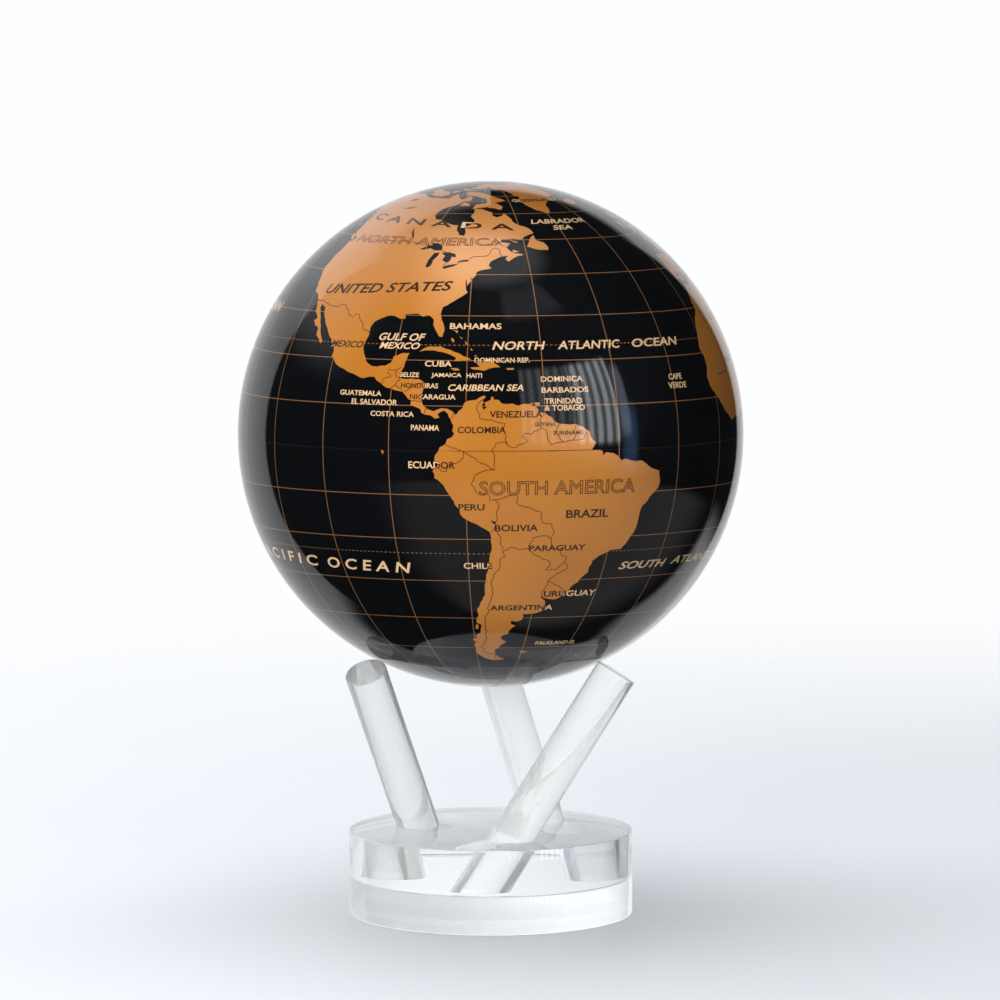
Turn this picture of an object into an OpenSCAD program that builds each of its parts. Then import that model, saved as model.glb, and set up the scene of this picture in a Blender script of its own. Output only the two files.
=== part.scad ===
// Desktop globe that turns by itself inside a clear ball, resting loose on a clear stand of three leaning rods.
// Millimetres, +Z up, origin at the centre of the stand's underside. The viewer's side is -Y.

/* [Stand] */
// Diameter of the two base discs
base_d = 64.5; // [50:0.5:90]
// Thickness of the lower, plain disc
lower_disc_t = 8.6; // [5:0.1:14]
// Thickness of the upper, drilled disc
upper_disc_t = 10.4; // [6:0.1:16]
// Polished chamfer round each disc's outer edges
disc_chamfer = 0.35; // [0.1:0.05:1]
// Diameter of the support rods
rod_d = 9.5; // [6:0.1:12]
// Polished chamfer round each rod's upper end
rod_chamfer = 0.4; // [0.1:0.05:1]
// Glue gap round a rod in its hole
rod_glue_gap = 0.06; // [0.02:0.01:0.2]
// Distance from the centre line to a rod's axis, at the base's top face
rod_foot_r = 17.2; // [12:0.1:20]
// Distance from the centre line to a rod's axis, at its upper end
rod_tip_r = 32.2; // [26:0.1:36]
// Height of a rod's upper end above the base's top face
rod_rise = 37.5; // [25:0.1:55]
// Turn of the foot round the centre line from the upper end, which makes the rods lean past one another
rod_twist = -45; // [-60:1:0]
// Gap left between the ball and a rod's rim where they touch
seat_gap = 0.3; // [0.1:0.05:0.6]

/* [Clear ball] */
// Outer diameter of the ball
ball_d = 114.3; // [90:0.1:150]
// Wall of the clear shells
shell_wall = 2.4; // [1.6:0.1:4]
// Height of the tongue that centres the two shells
tongue_h = 1.5; // [1:0.1:2.5]
// Thickness of that tongue
tongue_t = 0.8; // [0.5:0.05:1]
// Glue gap round tongues and plugs
bond_gap = 0.05; // [0.02:0.01:0.1]
// Diameter of the plug in the filling hole
plug_d = 4; // [3:0.1:6]

/* [Inner globe] */
// Film of liquid between the ball and the inner globe
liquid_gap = 0.9; // [0.6:0.05:2]
// Wall of the printed inner globe
globe_wall = 1.6; // [1.2:0.1:3]
// Depth of the lap joint at the inner globe's equator
lap_h = 1.4; // [1:0.1:2.5]
// Diameter of the ballast slug in the bottom of the inner globe
ballast_d = 36; // [24:0.5:44]
// Height of the ballast slug at its middle
ballast_h = 8; // [5:0.1:9]

/* [Light cells and deck] */
// Depth of the deck's underside below the middle of the globe
deck_drop = 8; // [6:0.5:12]
// Thickness of the deck
deck_t = 2; // [1.5:0.1:3]
// Clear space between the deck's edge and the wall
deck_edge_gap = 5.5; // [4:0.1:7]
// Diameter of the posts under the deck
post_d = 7; // [5:0.1:8]
// Distance of a post's centre in from the deck's edge
post_inset = 6; // [5:0.1:8]
// Diameter of the deck screws' shanks
screw_d = 2; // [1.6:0.1:2.6]
// Width of each light cell
cell_w = 20; // [14:0.5:24]
// Thickness of each light cell
cell_t = 0.5; // [0.3:0.05:1]
// Distance of the light cells' inner edge from the middle
cell_in_r = 16; // [14:0.5:18]

/* [Drive] */
// Diameter of a bobbin's flanges
bobbin_d = 13; // [10:0.5:14]
// Height of a bobbin
bobbin_h = 7; // [5:0.5:9]
// Thickness of a bobbin's flange
flange_t = 0.8; // [0.5:0.1:1.2]
// Diameter of a bobbin's core
core_d = 4; // [3:0.1:5]
// Depth of the winding below the flange's edge
winding_inset = 0.6; // [0.4:0.1:1]
// Distance of the bobbins from the middle
bobbin_ring_r = 13; // [11:0.5:14]
// Radius of the magnet carrier
carrier_r = 17; // [15:0.5:19]
// Thickness of the magnet carrier
carrier_t = 2; // [1.5:0.1:3]
// Length of each bar magnet
magnet_l = 24; // [18:0.5:26]
// Width of each bar magnet
magnet_w = 5; // [4:0.5:6]
// Thickness of each bar magnet
magnet_t = 3; // [2:0.1:4]
// Distance of a bar magnet's middle from the axle
magnet_offset = 8; // [7:0.5:9]
// Diameter of the axle
axle_d = 1.5; // [1.2:0.1:2]
// Running clearance round the axle in its jewels
axle_clear = 0.05; // [0.02:0.01:0.1]
// End float of the axle in each jewel
axle_float = 0.2; // [0.1:0.05:0.4]
// Diameter of the jewel cups
jewel_d = 5; // [4:0.1:6]
// Depth of a jewel cup
jewel_t = 2.4; // [2:0.1:3]
// Gap between the moving magnets and what stays still round them
rotor_gap = 4; // [2:0.5:6]
// Thickness of the bridge that carries the lower jewel
bridge_t = 2; // [1.5:0.1:3]
// Width of the bridge
bridge_w = 9; // [8:0.5:12]

/* [Hidden] */
$fn = 96;

clear_tint = [0.9, 0.94, 0.97, 0.35];
eps = 0.01;

// Stand
base_r = base_d / 2;
base_t = lower_disc_t + upper_disc_t;
rod_r = rod_d / 2;
rod_turn = 40;
back_az = 90;
left_az = 210;
right_az = 330;
function foot_pt(az) = [rod_foot_r * cos(az + rod_twist), rod_foot_r * sin(az + rod_twist), base_t];
function tip_pt(az) = [rod_tip_r * cos(az), rod_tip_r * sin(az), base_t + rod_rise];
function rod_dir(az) = (tip_pt(az) - foot_pt(az)) / norm(tip_pt(az) - foot_pt(az));

// The ball sits where its surface meets the inner side of each rod's rim.
function rim_distance(z) =
    let (w = [0, 0, z] - tip_pt(back_az), along = w * rod_dir(back_az), across = sqrt(w * w - along * along))
    sqrt(along * along + pow(across - rod_r, 2));
function seat_z(lo, hi, n) =
    let (mid = (lo + hi) / 2)
    n == 0 ? mid : rim_distance(mid) < ball_d / 2 + seat_gap ? seat_z(mid, hi, n - 1) : seat_z(lo, mid, n - 1);

// Ball and inner globe, from the outside in
ball_r = ball_d / 2;
ball_z = seat_z(base_t + rod_rise, base_t + rod_rise + ball_d, 40);
shell_in_r = ball_r - shell_wall;
tongue_mid_r = (ball_r + shell_in_r) / 2;
plug_r = plug_d / 2;
globe_r = shell_in_r - liquid_gap;
cavity_r = globe_r - globe_wall;
lap_r = (globe_r + cavity_r) / 2;

// Deck, and what hangs under it
deck_under = -deck_drop;
deck_r = sqrt(pow(cavity_r, 2) - pow(deck_drop, 2)) - deck_edge_gap;
post_ring_r = deck_r - post_inset;
post_azimuths = [0, 90, 180, 270];
screw_r = screw_d / 2;
head_r = screw_d * 1.1;
head_h = screw_d * 0.6;
screw_l = 7;
thread_gap = 0.04;
pass_gap = 0.35;
cell_azimuths = [45, 135, 225, 315];
cell_out_r = post_ring_r;
board = [18, 10, 1.6];
board_y = -post_ring_r + post_d / 2 + 2 + board[1] / 2;

// Levels down the axle, each from the one above
bobbin_azimuths = [90, 210, 330];
bobbin_r = bobbin_d / 2;
bobbin_under = deck_under - bobbin_h;
shutter_r = 10;
shutter_t = 0.6;
shutter_top = bobbin_under - 1;
carrier_top = shutter_top - shutter_t - 1.6;
carrier_under = carrier_top - carrier_t;
magnet_under = carrier_under - magnet_t;
bridge_top = magnet_under - rotor_gap;
arm_in = carrier_r + rotor_gap;
foot_l = 9;
bridge_screw_x = arm_in + bridge_t + foot_l / 2;
bridge_screw_l = 5;
axle_r = axle_d / 2;
jewel_r = jewel_d / 2;
jewel_bore_d = 1.4;
jewel_stand = 1;
upper_jewel_under = deck_under - jewel_stand;
lower_jewel_top = bridge_top + jewel_stand;
axle_top = upper_jewel_under + jewel_bore_d - axle_float;
axle_under = lower_jewel_top - jewel_bore_d + axle_float;
hub_r = 3;

// ---- shared shapes ----

// A disc with the same chamfer on both edges
module chamfered_disc(r, t, c) {
    cylinder(r1 = r - c, r2 = r, h = c);
    translate([0, 0, c]) cylinder(r = r, h = t - 2 * c);
    translate([0, 0, t - c]) cylinder(r1 = r, r2 = r - c, h = c);
}

// Sets children along a rod's axis, with z = 0 at the height of the base's top face
module along_rod(az) {
    d = rod_dir(az);
    translate(foot_pt(az)) rotate([0, acos(d[2]), atan2(d[1], d[0])]) rotate(rod_turn) children();
}

// One half of a hollow ball, above or below z = 0
module half_ball(out_r, in_r, upper) {
    difference() {
        sphere(r = out_r);
        sphere(r = in_r);
        translate([-out_r - 1, -out_r - 1, upper ? -2 * out_r - 2 : 0]) cube(2 * out_r + 2);
    }
}

module ring(out_r, in_r, z0, z1) {
    difference() {
        translate([0, 0, z0]) cylinder(r = out_r, h = z1 - z0);
        translate([0, 0, z0 - 1]) cylinder(r = in_r, h = z1 - z0 + 2);
    }
}

module at_ball() {
    translate([0, 0, ball_z]) children();
}

// A screw with its head standing on z = 0 and its shank below
module screw(length) {
    cylinder(r = head_r, h = head_h);
    translate([0, 0, -length]) cylinder(r = screw_r, h = length + eps);
}

// ---- stand ----

module base_lower_disc() {
    color(clear_tint) chamfered_disc(base_r, lower_disc_t, disc_chamfer);
}

module base_upper_disc() {
    color(clear_tint) difference() {
        translate([0, 0, lower_disc_t]) chamfered_disc(base_r, upper_disc_t, disc_chamfer);
        for (az = [back_az, left_az, right_az])
            along_rod(az) translate([0, 0, -2 * base_t]) cylinder(r = rod_r + rod_glue_gap, h = 4 * base_t);
    }
}

// A rod is cut flush with the joint between the discs and square at its upper end.
module support_rod(az) {
    reach = norm(tip_pt(az) - foot_pt(az));
    below = 2 * base_t;
    color(clear_tint) difference() {
        along_rod(az) {
            translate([0, 0, -below]) cylinder(r = rod_r, h = below + reach);
            translate([0, 0, reach]) cylinder(r1 = rod_r, r2 = rod_r - rod_chamfer, h = rod_chamfer);
        }
        translate([-2 * base_d, -2 * base_d, lower_disc_t - 4 * base_d]) cube(4 * base_d);
    }
}
module support_rod_back() { support_rod(back_az); }
module support_rod_left() { support_rod(left_az); }
module support_rod_right() { support_rod(right_az); }

// ---- clear ball ----

module shell_upper() {
    color(clear_tint) at_ball() {
        half_ball(ball_r, shell_in_r, true);
        ring(tongue_mid_r + tongue_t / 2, tongue_mid_r - tongue_t / 2, -tongue_h, tongue_t / 2);
    }
}

module shell_lower() {
    color(clear_tint) at_ball() difference() {
        half_ball(ball_r, shell_in_r, false);
        ring(tongue_mid_r + tongue_t / 2 + bond_gap, tongue_mid_r - tongue_t / 2 - bond_gap,
             -tongue_h - bond_gap, 1);
        translate([0, 0, -ball_r - 1]) cylinder(r = plug_r + bond_gap, h = shell_wall + liquid_gap + 1);
    }
}

module fill_plug() {
    color(clear_tint) at_ball() intersection() {
        half_ball(ball_r, shell_in_r, false);
        translate([0, 0, -ball_r - 1]) cylinder(r = plug_r, h = ball_r);
    }
}

// ---- inner globe ----

// The north half's skirt slides inside the south half's rim.
module globe_north() {
    color("goldenrod") at_ball() {
        half_ball(globe_r, cavity_r, true);
        intersection() {
            ring(lap_r - bond_gap, cavity_r - lap_h, -lap_h, lap_h);
            difference() {
                sphere(r = lap_r + globe_wall / 4);
                sphere(r = cavity_r);
            }
        }
    }
}

module globe_south() {
    color("goldenrod") at_ball() difference() {
        union() {
            half_ball(globe_r, cavity_r, false);
            intersection() {
                for (az = post_azimuths)
                    rotate(az) translate([post_ring_r, 0, -globe_r]) cylinder(r = post_d / 2, h = globe_r + deck_under);
                sphere(r = cavity_r + globe_wall / 2);
            }
        }
        translate([0, 0, -lap_h - bond_gap]) cylinder(r = lap_r, h = lap_h + 1);
        for (az = post_azimuths)
            rotate(az) translate([post_ring_r, 0, deck_under - screw_l])
                cylinder(r = screw_r + thread_gap, h = screw_l + 1);
    }
}

// A slug cast to the bowl of the globe, which keeps it upright as it floats
module ballast_weight() {
    color("darkgoldenrod") at_ball() intersection() {
        sphere(r = cavity_r - bond_gap);
        translate([0, 0, -cavity_r]) cylinder(r = ballast_d / 2, h = ballast_h);
    }
}

// ---- deck ----

module cell_deck() {
    color("ivory") at_ball() difference() {
        translate([0, 0, deck_under]) cylinder(r = deck_r, h = deck_t);
        for (az = post_azimuths)
            rotate(az) translate([post_ring_r, 0, deck_under - 1]) cylinder(r = screw_r + pass_gap, h = deck_t + 2);
        for (side = [-1, 1])
            translate([side * bridge_screw_x, 0, deck_under - 1]) cylinder(r = screw_r + pass_gap, h = deck_t + 2);
        translate([0, 0, deck_under - 1]) cylinder(r = jewel_r + bond_gap, h = deck_t + 2);
    }
}

module deck_screws() {
    color("silver") at_ball() for (az = post_azimuths)
        rotate(az) translate([post_ring_r, 0, deck_under + deck_t]) screw(screw_l);
}

module light_cells() {
    color("midnightblue") at_ball() for (az = cell_azimuths)
        rotate(az) translate([cell_in_r, -cell_w / 2, deck_under + deck_t])
            cube([cell_out_r - cell_in_r, cell_w, cell_t]);
}

module driver_board() {
    color("darkgreen") at_ball() translate([0, board_y, deck_under - board[2] / 2]) cube(board, center = true);
}

module coil_bobbins() {
    color("white") at_ball() for (az = bobbin_azimuths)
        rotate(az) translate([bobbin_ring_r, 0, bobbin_under]) {
            cylinder(r = bobbin_r, h = flange_t);
            cylinder(r = core_d / 2, h = bobbin_h);
            translate([0, 0, bobbin_h - flange_t]) cylinder(r = bobbin_r, h = flange_t);
        }
}

module drive_coils() {
    color("peru") at_ball() for (az = bobbin_azimuths)
        rotate(az) translate([bobbin_ring_r, 0, bobbin_under])
            ring(bobbin_r - winding_inset, core_d / 2 + bond_gap, flange_t + bond_gap, bobbin_h - flange_t - bond_gap);
}

// ---- bearings ----

// A bent strap: two feet under the deck, two arms, and the bar that holds the lower jewel
module bearing_bridge() {
    color("silver") at_ball() difference() {
        for (side = [0, 180]) rotate(side) {
            translate([arm_in, -bridge_w / 2, deck_under - bridge_t]) cube([bridge_t + foot_l, bridge_w, bridge_t]);
            translate([arm_in, -bridge_w / 2, bridge_top - bridge_t])
                cube([bridge_t, bridge_w, deck_under - bridge_top + bridge_t]);
            translate([0, -bridge_w / 2, bridge_top - bridge_t]) cube([arm_in + bridge_t, bridge_w, bridge_t]);
        }
        for (side = [-1, 1])
            translate([side * bridge_screw_x, 0, deck_under - bridge_t - 1])
                cylinder(r = screw_r + thread_gap, h = bridge_t + 2);
        translate([0, 0, bridge_top - bridge_t - 1]) cylinder(r = jewel_r + bond_gap, h = bridge_t + 2);
    }
}

module bridge_screws() {
    color("silver") at_ball() for (side = [-1, 1])
        translate([side * bridge_screw_x, 0, deck_under + deck_t]) screw(bridge_screw_l);
}

// A cup with a blind hole in the face that meets the axle
module jewel_cup() {
    difference() {
        cylinder(r = jewel_r, h = jewel_t);
        translate([0, 0, -1]) cylinder(r = axle_r + axle_clear, h = jewel_bore_d + 1);
    }
}

module upper_jewel() {
    color("crimson") at_ball() translate([0, 0, upper_jewel_under]) jewel_cup();
}

module lower_jewel() {
    color("crimson") at_ball() translate([0, 0, lower_jewel_top]) mirror([0, 0, 1]) jewel_cup();
}

// ---- compass rotor ----

module axle() {
    color("gainsboro") at_ball() translate([0, 0, axle_under]) cylinder(r = axle_r, h = axle_top - axle_under);
}

module rotor_hub() {
    color("white") at_ball() difference() {
        translate([0, 0, carrier_top]) cylinder(r = hub_r, h = shutter_top - shutter_t - carrier_top);
        translate([0, 0, carrier_top - 1]) cylinder(r = axle_r + bond_gap, h = shutter_top - carrier_top + 2);
    }
}

// Two opposite quarters are open, so the coils are switched twice a turn.
module shutter_disc() {
    color("dimgray") at_ball() translate([0, 0, shutter_top - shutter_t]) difference() {
        cylinder(r = shutter_r, h = shutter_t);
        for (turn = [0, 180]) rotate(turn) translate([hub_r, hub_r, -1]) cube([shutter_r, shutter_r, shutter_t + 2]);
        translate([0, 0, -1]) cylinder(r = axle_r + bond_gap, h = shutter_t + 2);
    }
}

module magnet_carrier() {
    color("lightgray") at_ball() difference() {
        translate([0, 0, carrier_under]) cylinder(r = carrier_r, h = carrier_t);
        translate([0, 0, carrier_under - 1]) cylinder(r = axle_r + bond_gap, h = carrier_t + 2);
    }
}

module bar_magnets() {
    color("slategray") at_ball() for (side = [-1, 1])
        translate([side * magnet_offset - magnet_w / 2, -magnet_l / 2, magnet_under])
            cube([magnet_w, magnet_l, magnet_t]);
}

base_lower_disc();
base_upper_disc();
support_rod_back();
support_rod_left();
support_rod_right();
shell_upper();
shell_lower();
fill_plug();
globe_north();
globe_south();
ballast_weight();
cell_deck();
deck_screws();
light_cells();
driver_board();
coil_bobbins();
drive_coils();
bearing_bridge();
bridge_screws();
upper_jewel();
lower_jewel();
axle();
rotor_hub();
shutter_disc();
magnet_carrier();
bar_magnets();
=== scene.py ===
import bpy, bmesh, math, random
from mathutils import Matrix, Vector, geometry
from mathutils.bvhtree import BVHTree


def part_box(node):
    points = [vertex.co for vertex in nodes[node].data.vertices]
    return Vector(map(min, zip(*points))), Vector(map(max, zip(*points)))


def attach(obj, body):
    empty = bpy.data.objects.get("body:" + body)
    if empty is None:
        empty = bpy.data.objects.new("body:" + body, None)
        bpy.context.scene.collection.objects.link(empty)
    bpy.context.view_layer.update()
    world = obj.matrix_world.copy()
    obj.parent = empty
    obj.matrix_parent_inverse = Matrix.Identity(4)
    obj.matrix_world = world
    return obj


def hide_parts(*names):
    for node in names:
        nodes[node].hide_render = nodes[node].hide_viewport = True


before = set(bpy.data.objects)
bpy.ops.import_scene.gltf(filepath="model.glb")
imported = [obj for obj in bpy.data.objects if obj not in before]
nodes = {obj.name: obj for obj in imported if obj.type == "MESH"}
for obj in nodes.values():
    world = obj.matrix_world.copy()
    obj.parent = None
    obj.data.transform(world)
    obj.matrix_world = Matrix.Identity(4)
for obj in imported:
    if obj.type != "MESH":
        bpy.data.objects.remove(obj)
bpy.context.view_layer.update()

mm = 0.001
bpy.ops.object.select_all(action="DESELECT")

# places taken from the frame
ballLow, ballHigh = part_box("shell_lower")[0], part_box("shell_upper")[1]
ballRadius = (ballHigh[2] - ballLow[2]) / 2
ballCentre = Vector((0, 0, (ballHigh[2] + ballLow[2]) / 2))
globeLow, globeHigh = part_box("globe_south")[0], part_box("globe_north")[1]
globeRadius = (globeHigh[2] - globeLow[2]) / 2
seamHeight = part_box("base_lower_disc")[1][2]
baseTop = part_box("base_upper_disc")[1][2]
baseRadius = (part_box("base_upper_disc")[1][0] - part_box("base_upper_disc")[0][0]) / 2

# camera
cameraSet = {"distance": 1.0, "height": 0.1764, "down": 0.0822, "yaw": 0.0021, "lens": 159.5}
bpy.ops.object.camera_add(
    location=(0, -cameraSet["distance"], cameraSet["height"]),
    rotation=(math.pi / 2 - cameraSet["down"], 0, -cameraSet["yaw"]),
)
camera = bpy.context.object
camera.data.lens = cameraSet["lens"]
camera.data.sensor_width = 36
camera.data.clip_start = 0.01
bpy.context.scene.camera = camera
bpy.context.scene.view_settings.view_transform = "Standard"
print("camera set, ball radius", round(ballRadius, 5))


class Val:
    # wraps a number in a material, so that sums written here become Math nodes
    def __init__(self, paint, socket):
        self.paint, self.socket = paint, socket

    def math(self, operation, other=None, swap=False):
        values = [self.socket] if other is None else [self.socket, getattr(other, "socket", other)]
        if swap:
            values.reverse()
        node = self.paint.node("ShaderNodeMath", {"operation": operation}, dict(enumerate(values)))
        return Val(self.paint, node.outputs[0])

    def __add__(self, other):
        return self.math("ADD", other)

    def __sub__(self, other):
        return self.math("SUBTRACT", other)

    def __rsub__(self, other):
        return self.math("SUBTRACT", other, True)

    def __mul__(self, other):
        return self.math("MULTIPLY", other)

    __radd__ = __add__
    __rmul__ = __mul__


class Paint:
    # one material's nodes, and the one way they are added
    def __init__(self, name):
        self.material = bpy.data.materials.new(name)
        self.material.use_nodes = True
        self.begin(self.material.node_tree, "ShaderNodeOutputMaterial", "Object")

    @classmethod
    def over(cls, tree, output, place):
        made = cls.__new__(cls)
        made.begin(tree, output, place)
        return made

    def begin(self, tree, output, place):
        self.tree = tree
        tree.nodes.clear()
        self.output = self.node(output)
        self.place = self.node("ShaderNodeTexCoord").outputs[place]

    def node(self, kind, settings=None, inputs=None):
        node = self.tree.nodes.new(kind)
        for key, value in (settings or {}).items():
            if key == "stops":
                ramp = node.color_ramp.elements
                while len(ramp) < len(value):
                    ramp.new(0.5)
                for stop, (position, colour) in zip(ramp, value):
                    stop.position, stop.color = position, (*colour, 1)
            else:
                setattr(node, key, value)
        for key, value in (inputs or {}).items():
            value = getattr(value, "socket", value)
            if isinstance(value, bpy.types.NodeSocket):
                self.tree.links.new(value, node.inputs[key])
            else:
                node.inputs[key].default_value = value
        return node

    def noise(self, scale, detail=2.0, stretch=None):
        place = self.place
        if stretch:
            place = self.node("ShaderNodeMapping", None, {"Vector": place, "Scale": stretch}).outputs[0]
        made = self.node("ShaderNodeTexNoise", None, {"Vector": place, "Scale": scale, "Detail": detail})
        return Val(self, made.outputs["Fac"])

    def blendColour(self, factor, low, high):
        made = self.node("ShaderNodeMix", {"data_type": "RGBA"}, {"Factor": factor, 6: low, 7: high})
        return made.outputs[2]

    def step(self, value, start, end):
        # 0 before the start, 1 past the end, and smooth between
        limits = {"Value": value, "From Min": start, "From Max": end}
        made = self.node("ShaderNodeMapRange", {"interpolation_type": "SMOOTHSTEP"}, limits)
        return Val(self, made.outputs[0])

    def ramp(self, factor, stops):
        return self.node("ShaderNodeValToRGB", {"stops": stops}, {"Fac": factor}).outputs["Color"]

    def bump(self, height, distance, strength=1.0):
        values = {"Height": height, "Distance": distance, "Strength": strength}
        return self.node("ShaderNodeBump", None, values).outputs["Normal"]

    def finish(self, **values):
        values = {key.replace("_", " "): value for key, value in values.items()}
        shader = self.node("ShaderNodeBsdfPrincipled", None, values)
        self.tree.links.new(shader.outputs[0], self.output.inputs["Surface"])
        return self.material


def grey(level):
    return (level, level, level, 1)


# the room: patches of light on a dome, each between two turns from the camera's side and two heights
roomSet = {
    "backdrop": (0.985, 0.992, 1.0), "softFill": (0.26, 0.265, 0.275), "dark": 0.015,
    "throughPlastic": (0.85, 0.885, 0.925), "throughShare": 0.85, "foldPitch": 1.4,
}
patches = [
    # the white sweep behind, wider and brighter on the left, and the ceiling
    {"turn": (151, 180), "height": (-20, 30), "soft": (2, 4), "level": 0.9, "colour": (0.96, 0.98, 1.0)},
    {"turn": (134, 180), "height": (-47, -18), "soft": (4, 5), "level": 0.8, "colour": (0.96, 0.98, 1.0)},
    {"turn": (-180, -123), "height": (-44, 50), "soft": (1.5, 5), "level": 0.85, "colour": (0.96, 0.98, 1.0)},
    {"turn": (-160, -80), "height": (24, 72), "soft": (16, 8), "level": 0.55, "colour": (0.94, 0.97, 1.0)},
    {"turn": (-180, 180), "height": (74, 90), "soft": (1, 5), "level": 0.9, "colour": (0.97, 0.98, 1.0)},
    # curtained window right of the camera, its bright edge, a cool strip beside it, and a faint panel above
    {"turn": (14, 37), "height": (-1, 32), "soft": (1, 1.5), "level": 1.5, "colour": (0.93, 0.96, 1.0),
     "folds": 0.7},
    {"turn": (38, 60), "height": (-1, 32), "soft": (1, 1.5), "level": 5.6, "colour": (0.93, 0.96, 1.0),
     "folds": 0.8},
    {"turn": (61, 66), "height": (2, 28), "soft": (1, 3), "level": 2.0, "colour": (0.70, 0.84, 1.0)},
    {"turn": (62, 69), "height": (-12, 12), "soft": (2, 4), "level": 1.3, "colour": (0.25, 0.50, 1.0)},
    {"turn": (10, 55), "height": (56, 70), "soft": (3, 3), "level": 0.4, "colour": (0.9, 0.9, 1.0)},
    # table in front and below
    {"turn": (-46, 116), "height": (-82, -17), "soft": (16, 1.5), "level": 0.30, "colour": (1.0, 0.97, 0.95)},
]


def roomLight():
    world = bpy.data.worlds.new("room")
    bpy.context.scene.world = world
    world.use_nodes = True
    paint = Paint.over(world.node_tree, "ShaderNodeOutputWorld", "Generated")
    parts = paint.node("ShaderNodeSeparateXYZ", None, {"Vector": paint.place}).outputs
    x, y, z = [Val(paint, part) for part in parts]
    turn = x.math("ARCTAN2", y * -1.0) * (180 / math.pi)
    height = z.math("ARCSINE") * (180 / math.pi)

    def between(value, limits, soft):
        low = paint.step(value, limits[0] - soft, limits[0] + soft)
        return low * paint.step(value, limits[1] + soft, limits[1] - soft)

    total = paint.node("ShaderNodeRGB").outputs[0]
    total.default_value = grey(roomSet["dark"])
    for patch in patches:
        # a patch that reaches straight behind doesn't fade there
        turns = [edge * (2 if abs(edge) == 180 else 1) for edge in patch["turn"]]
        mask = between(height, patch["height"], patch["soft"][1])
        mask = mask * between(turn, turns, patch["soft"][0])
        if "folds" in patch:
            half = patch["folds"] / 2
            mask = mask * ((turn * roomSet["foldPitch"]).math("SINE") * half + (1 - half))
        inputs = {"Factor": mask, 6: total, 7: (*[part * patch["level"] for part in patch["colour"]], 1)}
        total = paint.node("ShaderNodeMix", {"data_type": "RGBA", "blend_type": "ADD"}, inputs).outputs[2]
    ray = paint.node("ShaderNodeLightPath").outputs
    total = paint.blendColour(ray["Is Glossy Ray"], (*roomSet["softFill"], 1), total)
    through = Val(paint, ray["Is Transmission Ray"]) * roomSet["throughShare"]
    colour = paint.blendColour(through, total, (*roomSet["throughPlastic"], 1))
    colour = paint.blendColour(ray["Is Camera Ray"], colour, (*roomSet["backdrop"], 1))
    made = paint.node("ShaderNodeBackground", None, {"Color": colour})
    paint.tree.links.new(made.outputs[0], paint.output.inputs["Surface"])


roomLight()


# soft lamps for the print, the stand and the floor; the sharp reflections come from the dome
lamps = {
    "keyLamp": {"at": (-0.55, -1.25, 0.30), "size": 0.7, "power": 20, "colour": (1.0, 0.97, 0.90)},
    "sheenLamp": {"at": (-0.07, -0.44, 1.27), "size": 0.75, "power": 4, "colour": (1.0, 0.97, 0.86)},
    "sideLamp": {"at": (0.30, -0.16, 0.03), "size": 0.1, "power": 3.4, "colour": (1.0, 1.0, 1.0)},
    "topLamp": {"at": (-0.3, 0.15, 1.6), "size": 2.2, "power": 34, "colour": (0.97, 0.985, 1.0)},
}
printed, surround, litFoot = [bpy.data.collections.new(name) for name in ("printed", "surround", "litFoot")]
# what each lamp lights; the key lamp lights everything
lit = {"sheenLamp": printed, "sideLamp": litFoot, "topLamp": surround}
for name, row in lamps.items():
    aim = (ballCentre - Vector(row["at"])).to_track_quat("-Z", "Y").to_euler()
    bpy.ops.object.light_add(type="AREA", radius=row["size"], location=row["at"], rotation=aim)
    lamp = bpy.context.object
    lamp.name = name
    lamp.data.energy, lamp.data.color, lamp.data.size = row["power"], row["colour"], row["size"]
    lamp.visible_camera = lamp.visible_transmission = False
    lamp.visible_glossy = name == "sheenLamp"
    lamp.light_linking.receiver_collection = lit.get(name)

floorSet = {
    "side": 6, "whole": 0.12, "gone": 0.72, "centre": (0.0, -0.02, 0.0),
    "tones": [(0.05, (0.68, 0.705, 0.745)), (0.35, (0.755, 0.785, 0.83)), (0.75, (0.87, 0.895, 0.93))],
}


def floorPaint():
    paint = Paint("paleSweepPaintedShade")
    ends = {0: paint.place, 1: floorSet["centre"]}
    reach = Val(paint, paint.node("ShaderNodeVectorMath", {"operation": "DISTANCE"}, ends).outputs["Value"])
    side = paint.node("ShaderNodeSeparateXYZ", None, {"Vector": paint.place}).outputs[0]
    # painted shade: the floor's colour runs darker towards the right and towards the middle under the object,
    # where the light falls off; the noise adds random tone
    tone = paint.noise(5.0, 3.0) * 0.3 + reach * 0.6 - Val(paint, side) * 1.2
    fade = paint.step(reach, floorSet["gone"], floorSet["whole"])
    return paint.finish(Base_Color=paint.ramp(tone, floorSet["tones"]), Roughness=0.55, Alpha=fade)


bpy.ops.mesh.primitive_plane_add(size=floorSet["side"])
floor = bpy.context.object
floor.name = "floor"
floor.data.materials.append(floorPaint())
floor.visible_glossy = floor.visible_diffuse = False
surround.objects.link(floor)
print("room and floor made")


# the map: outlines and borders, as points in degrees east and north
def pairs(flat):
    return list(zip(flat[::2], flat[1::2]))


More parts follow.
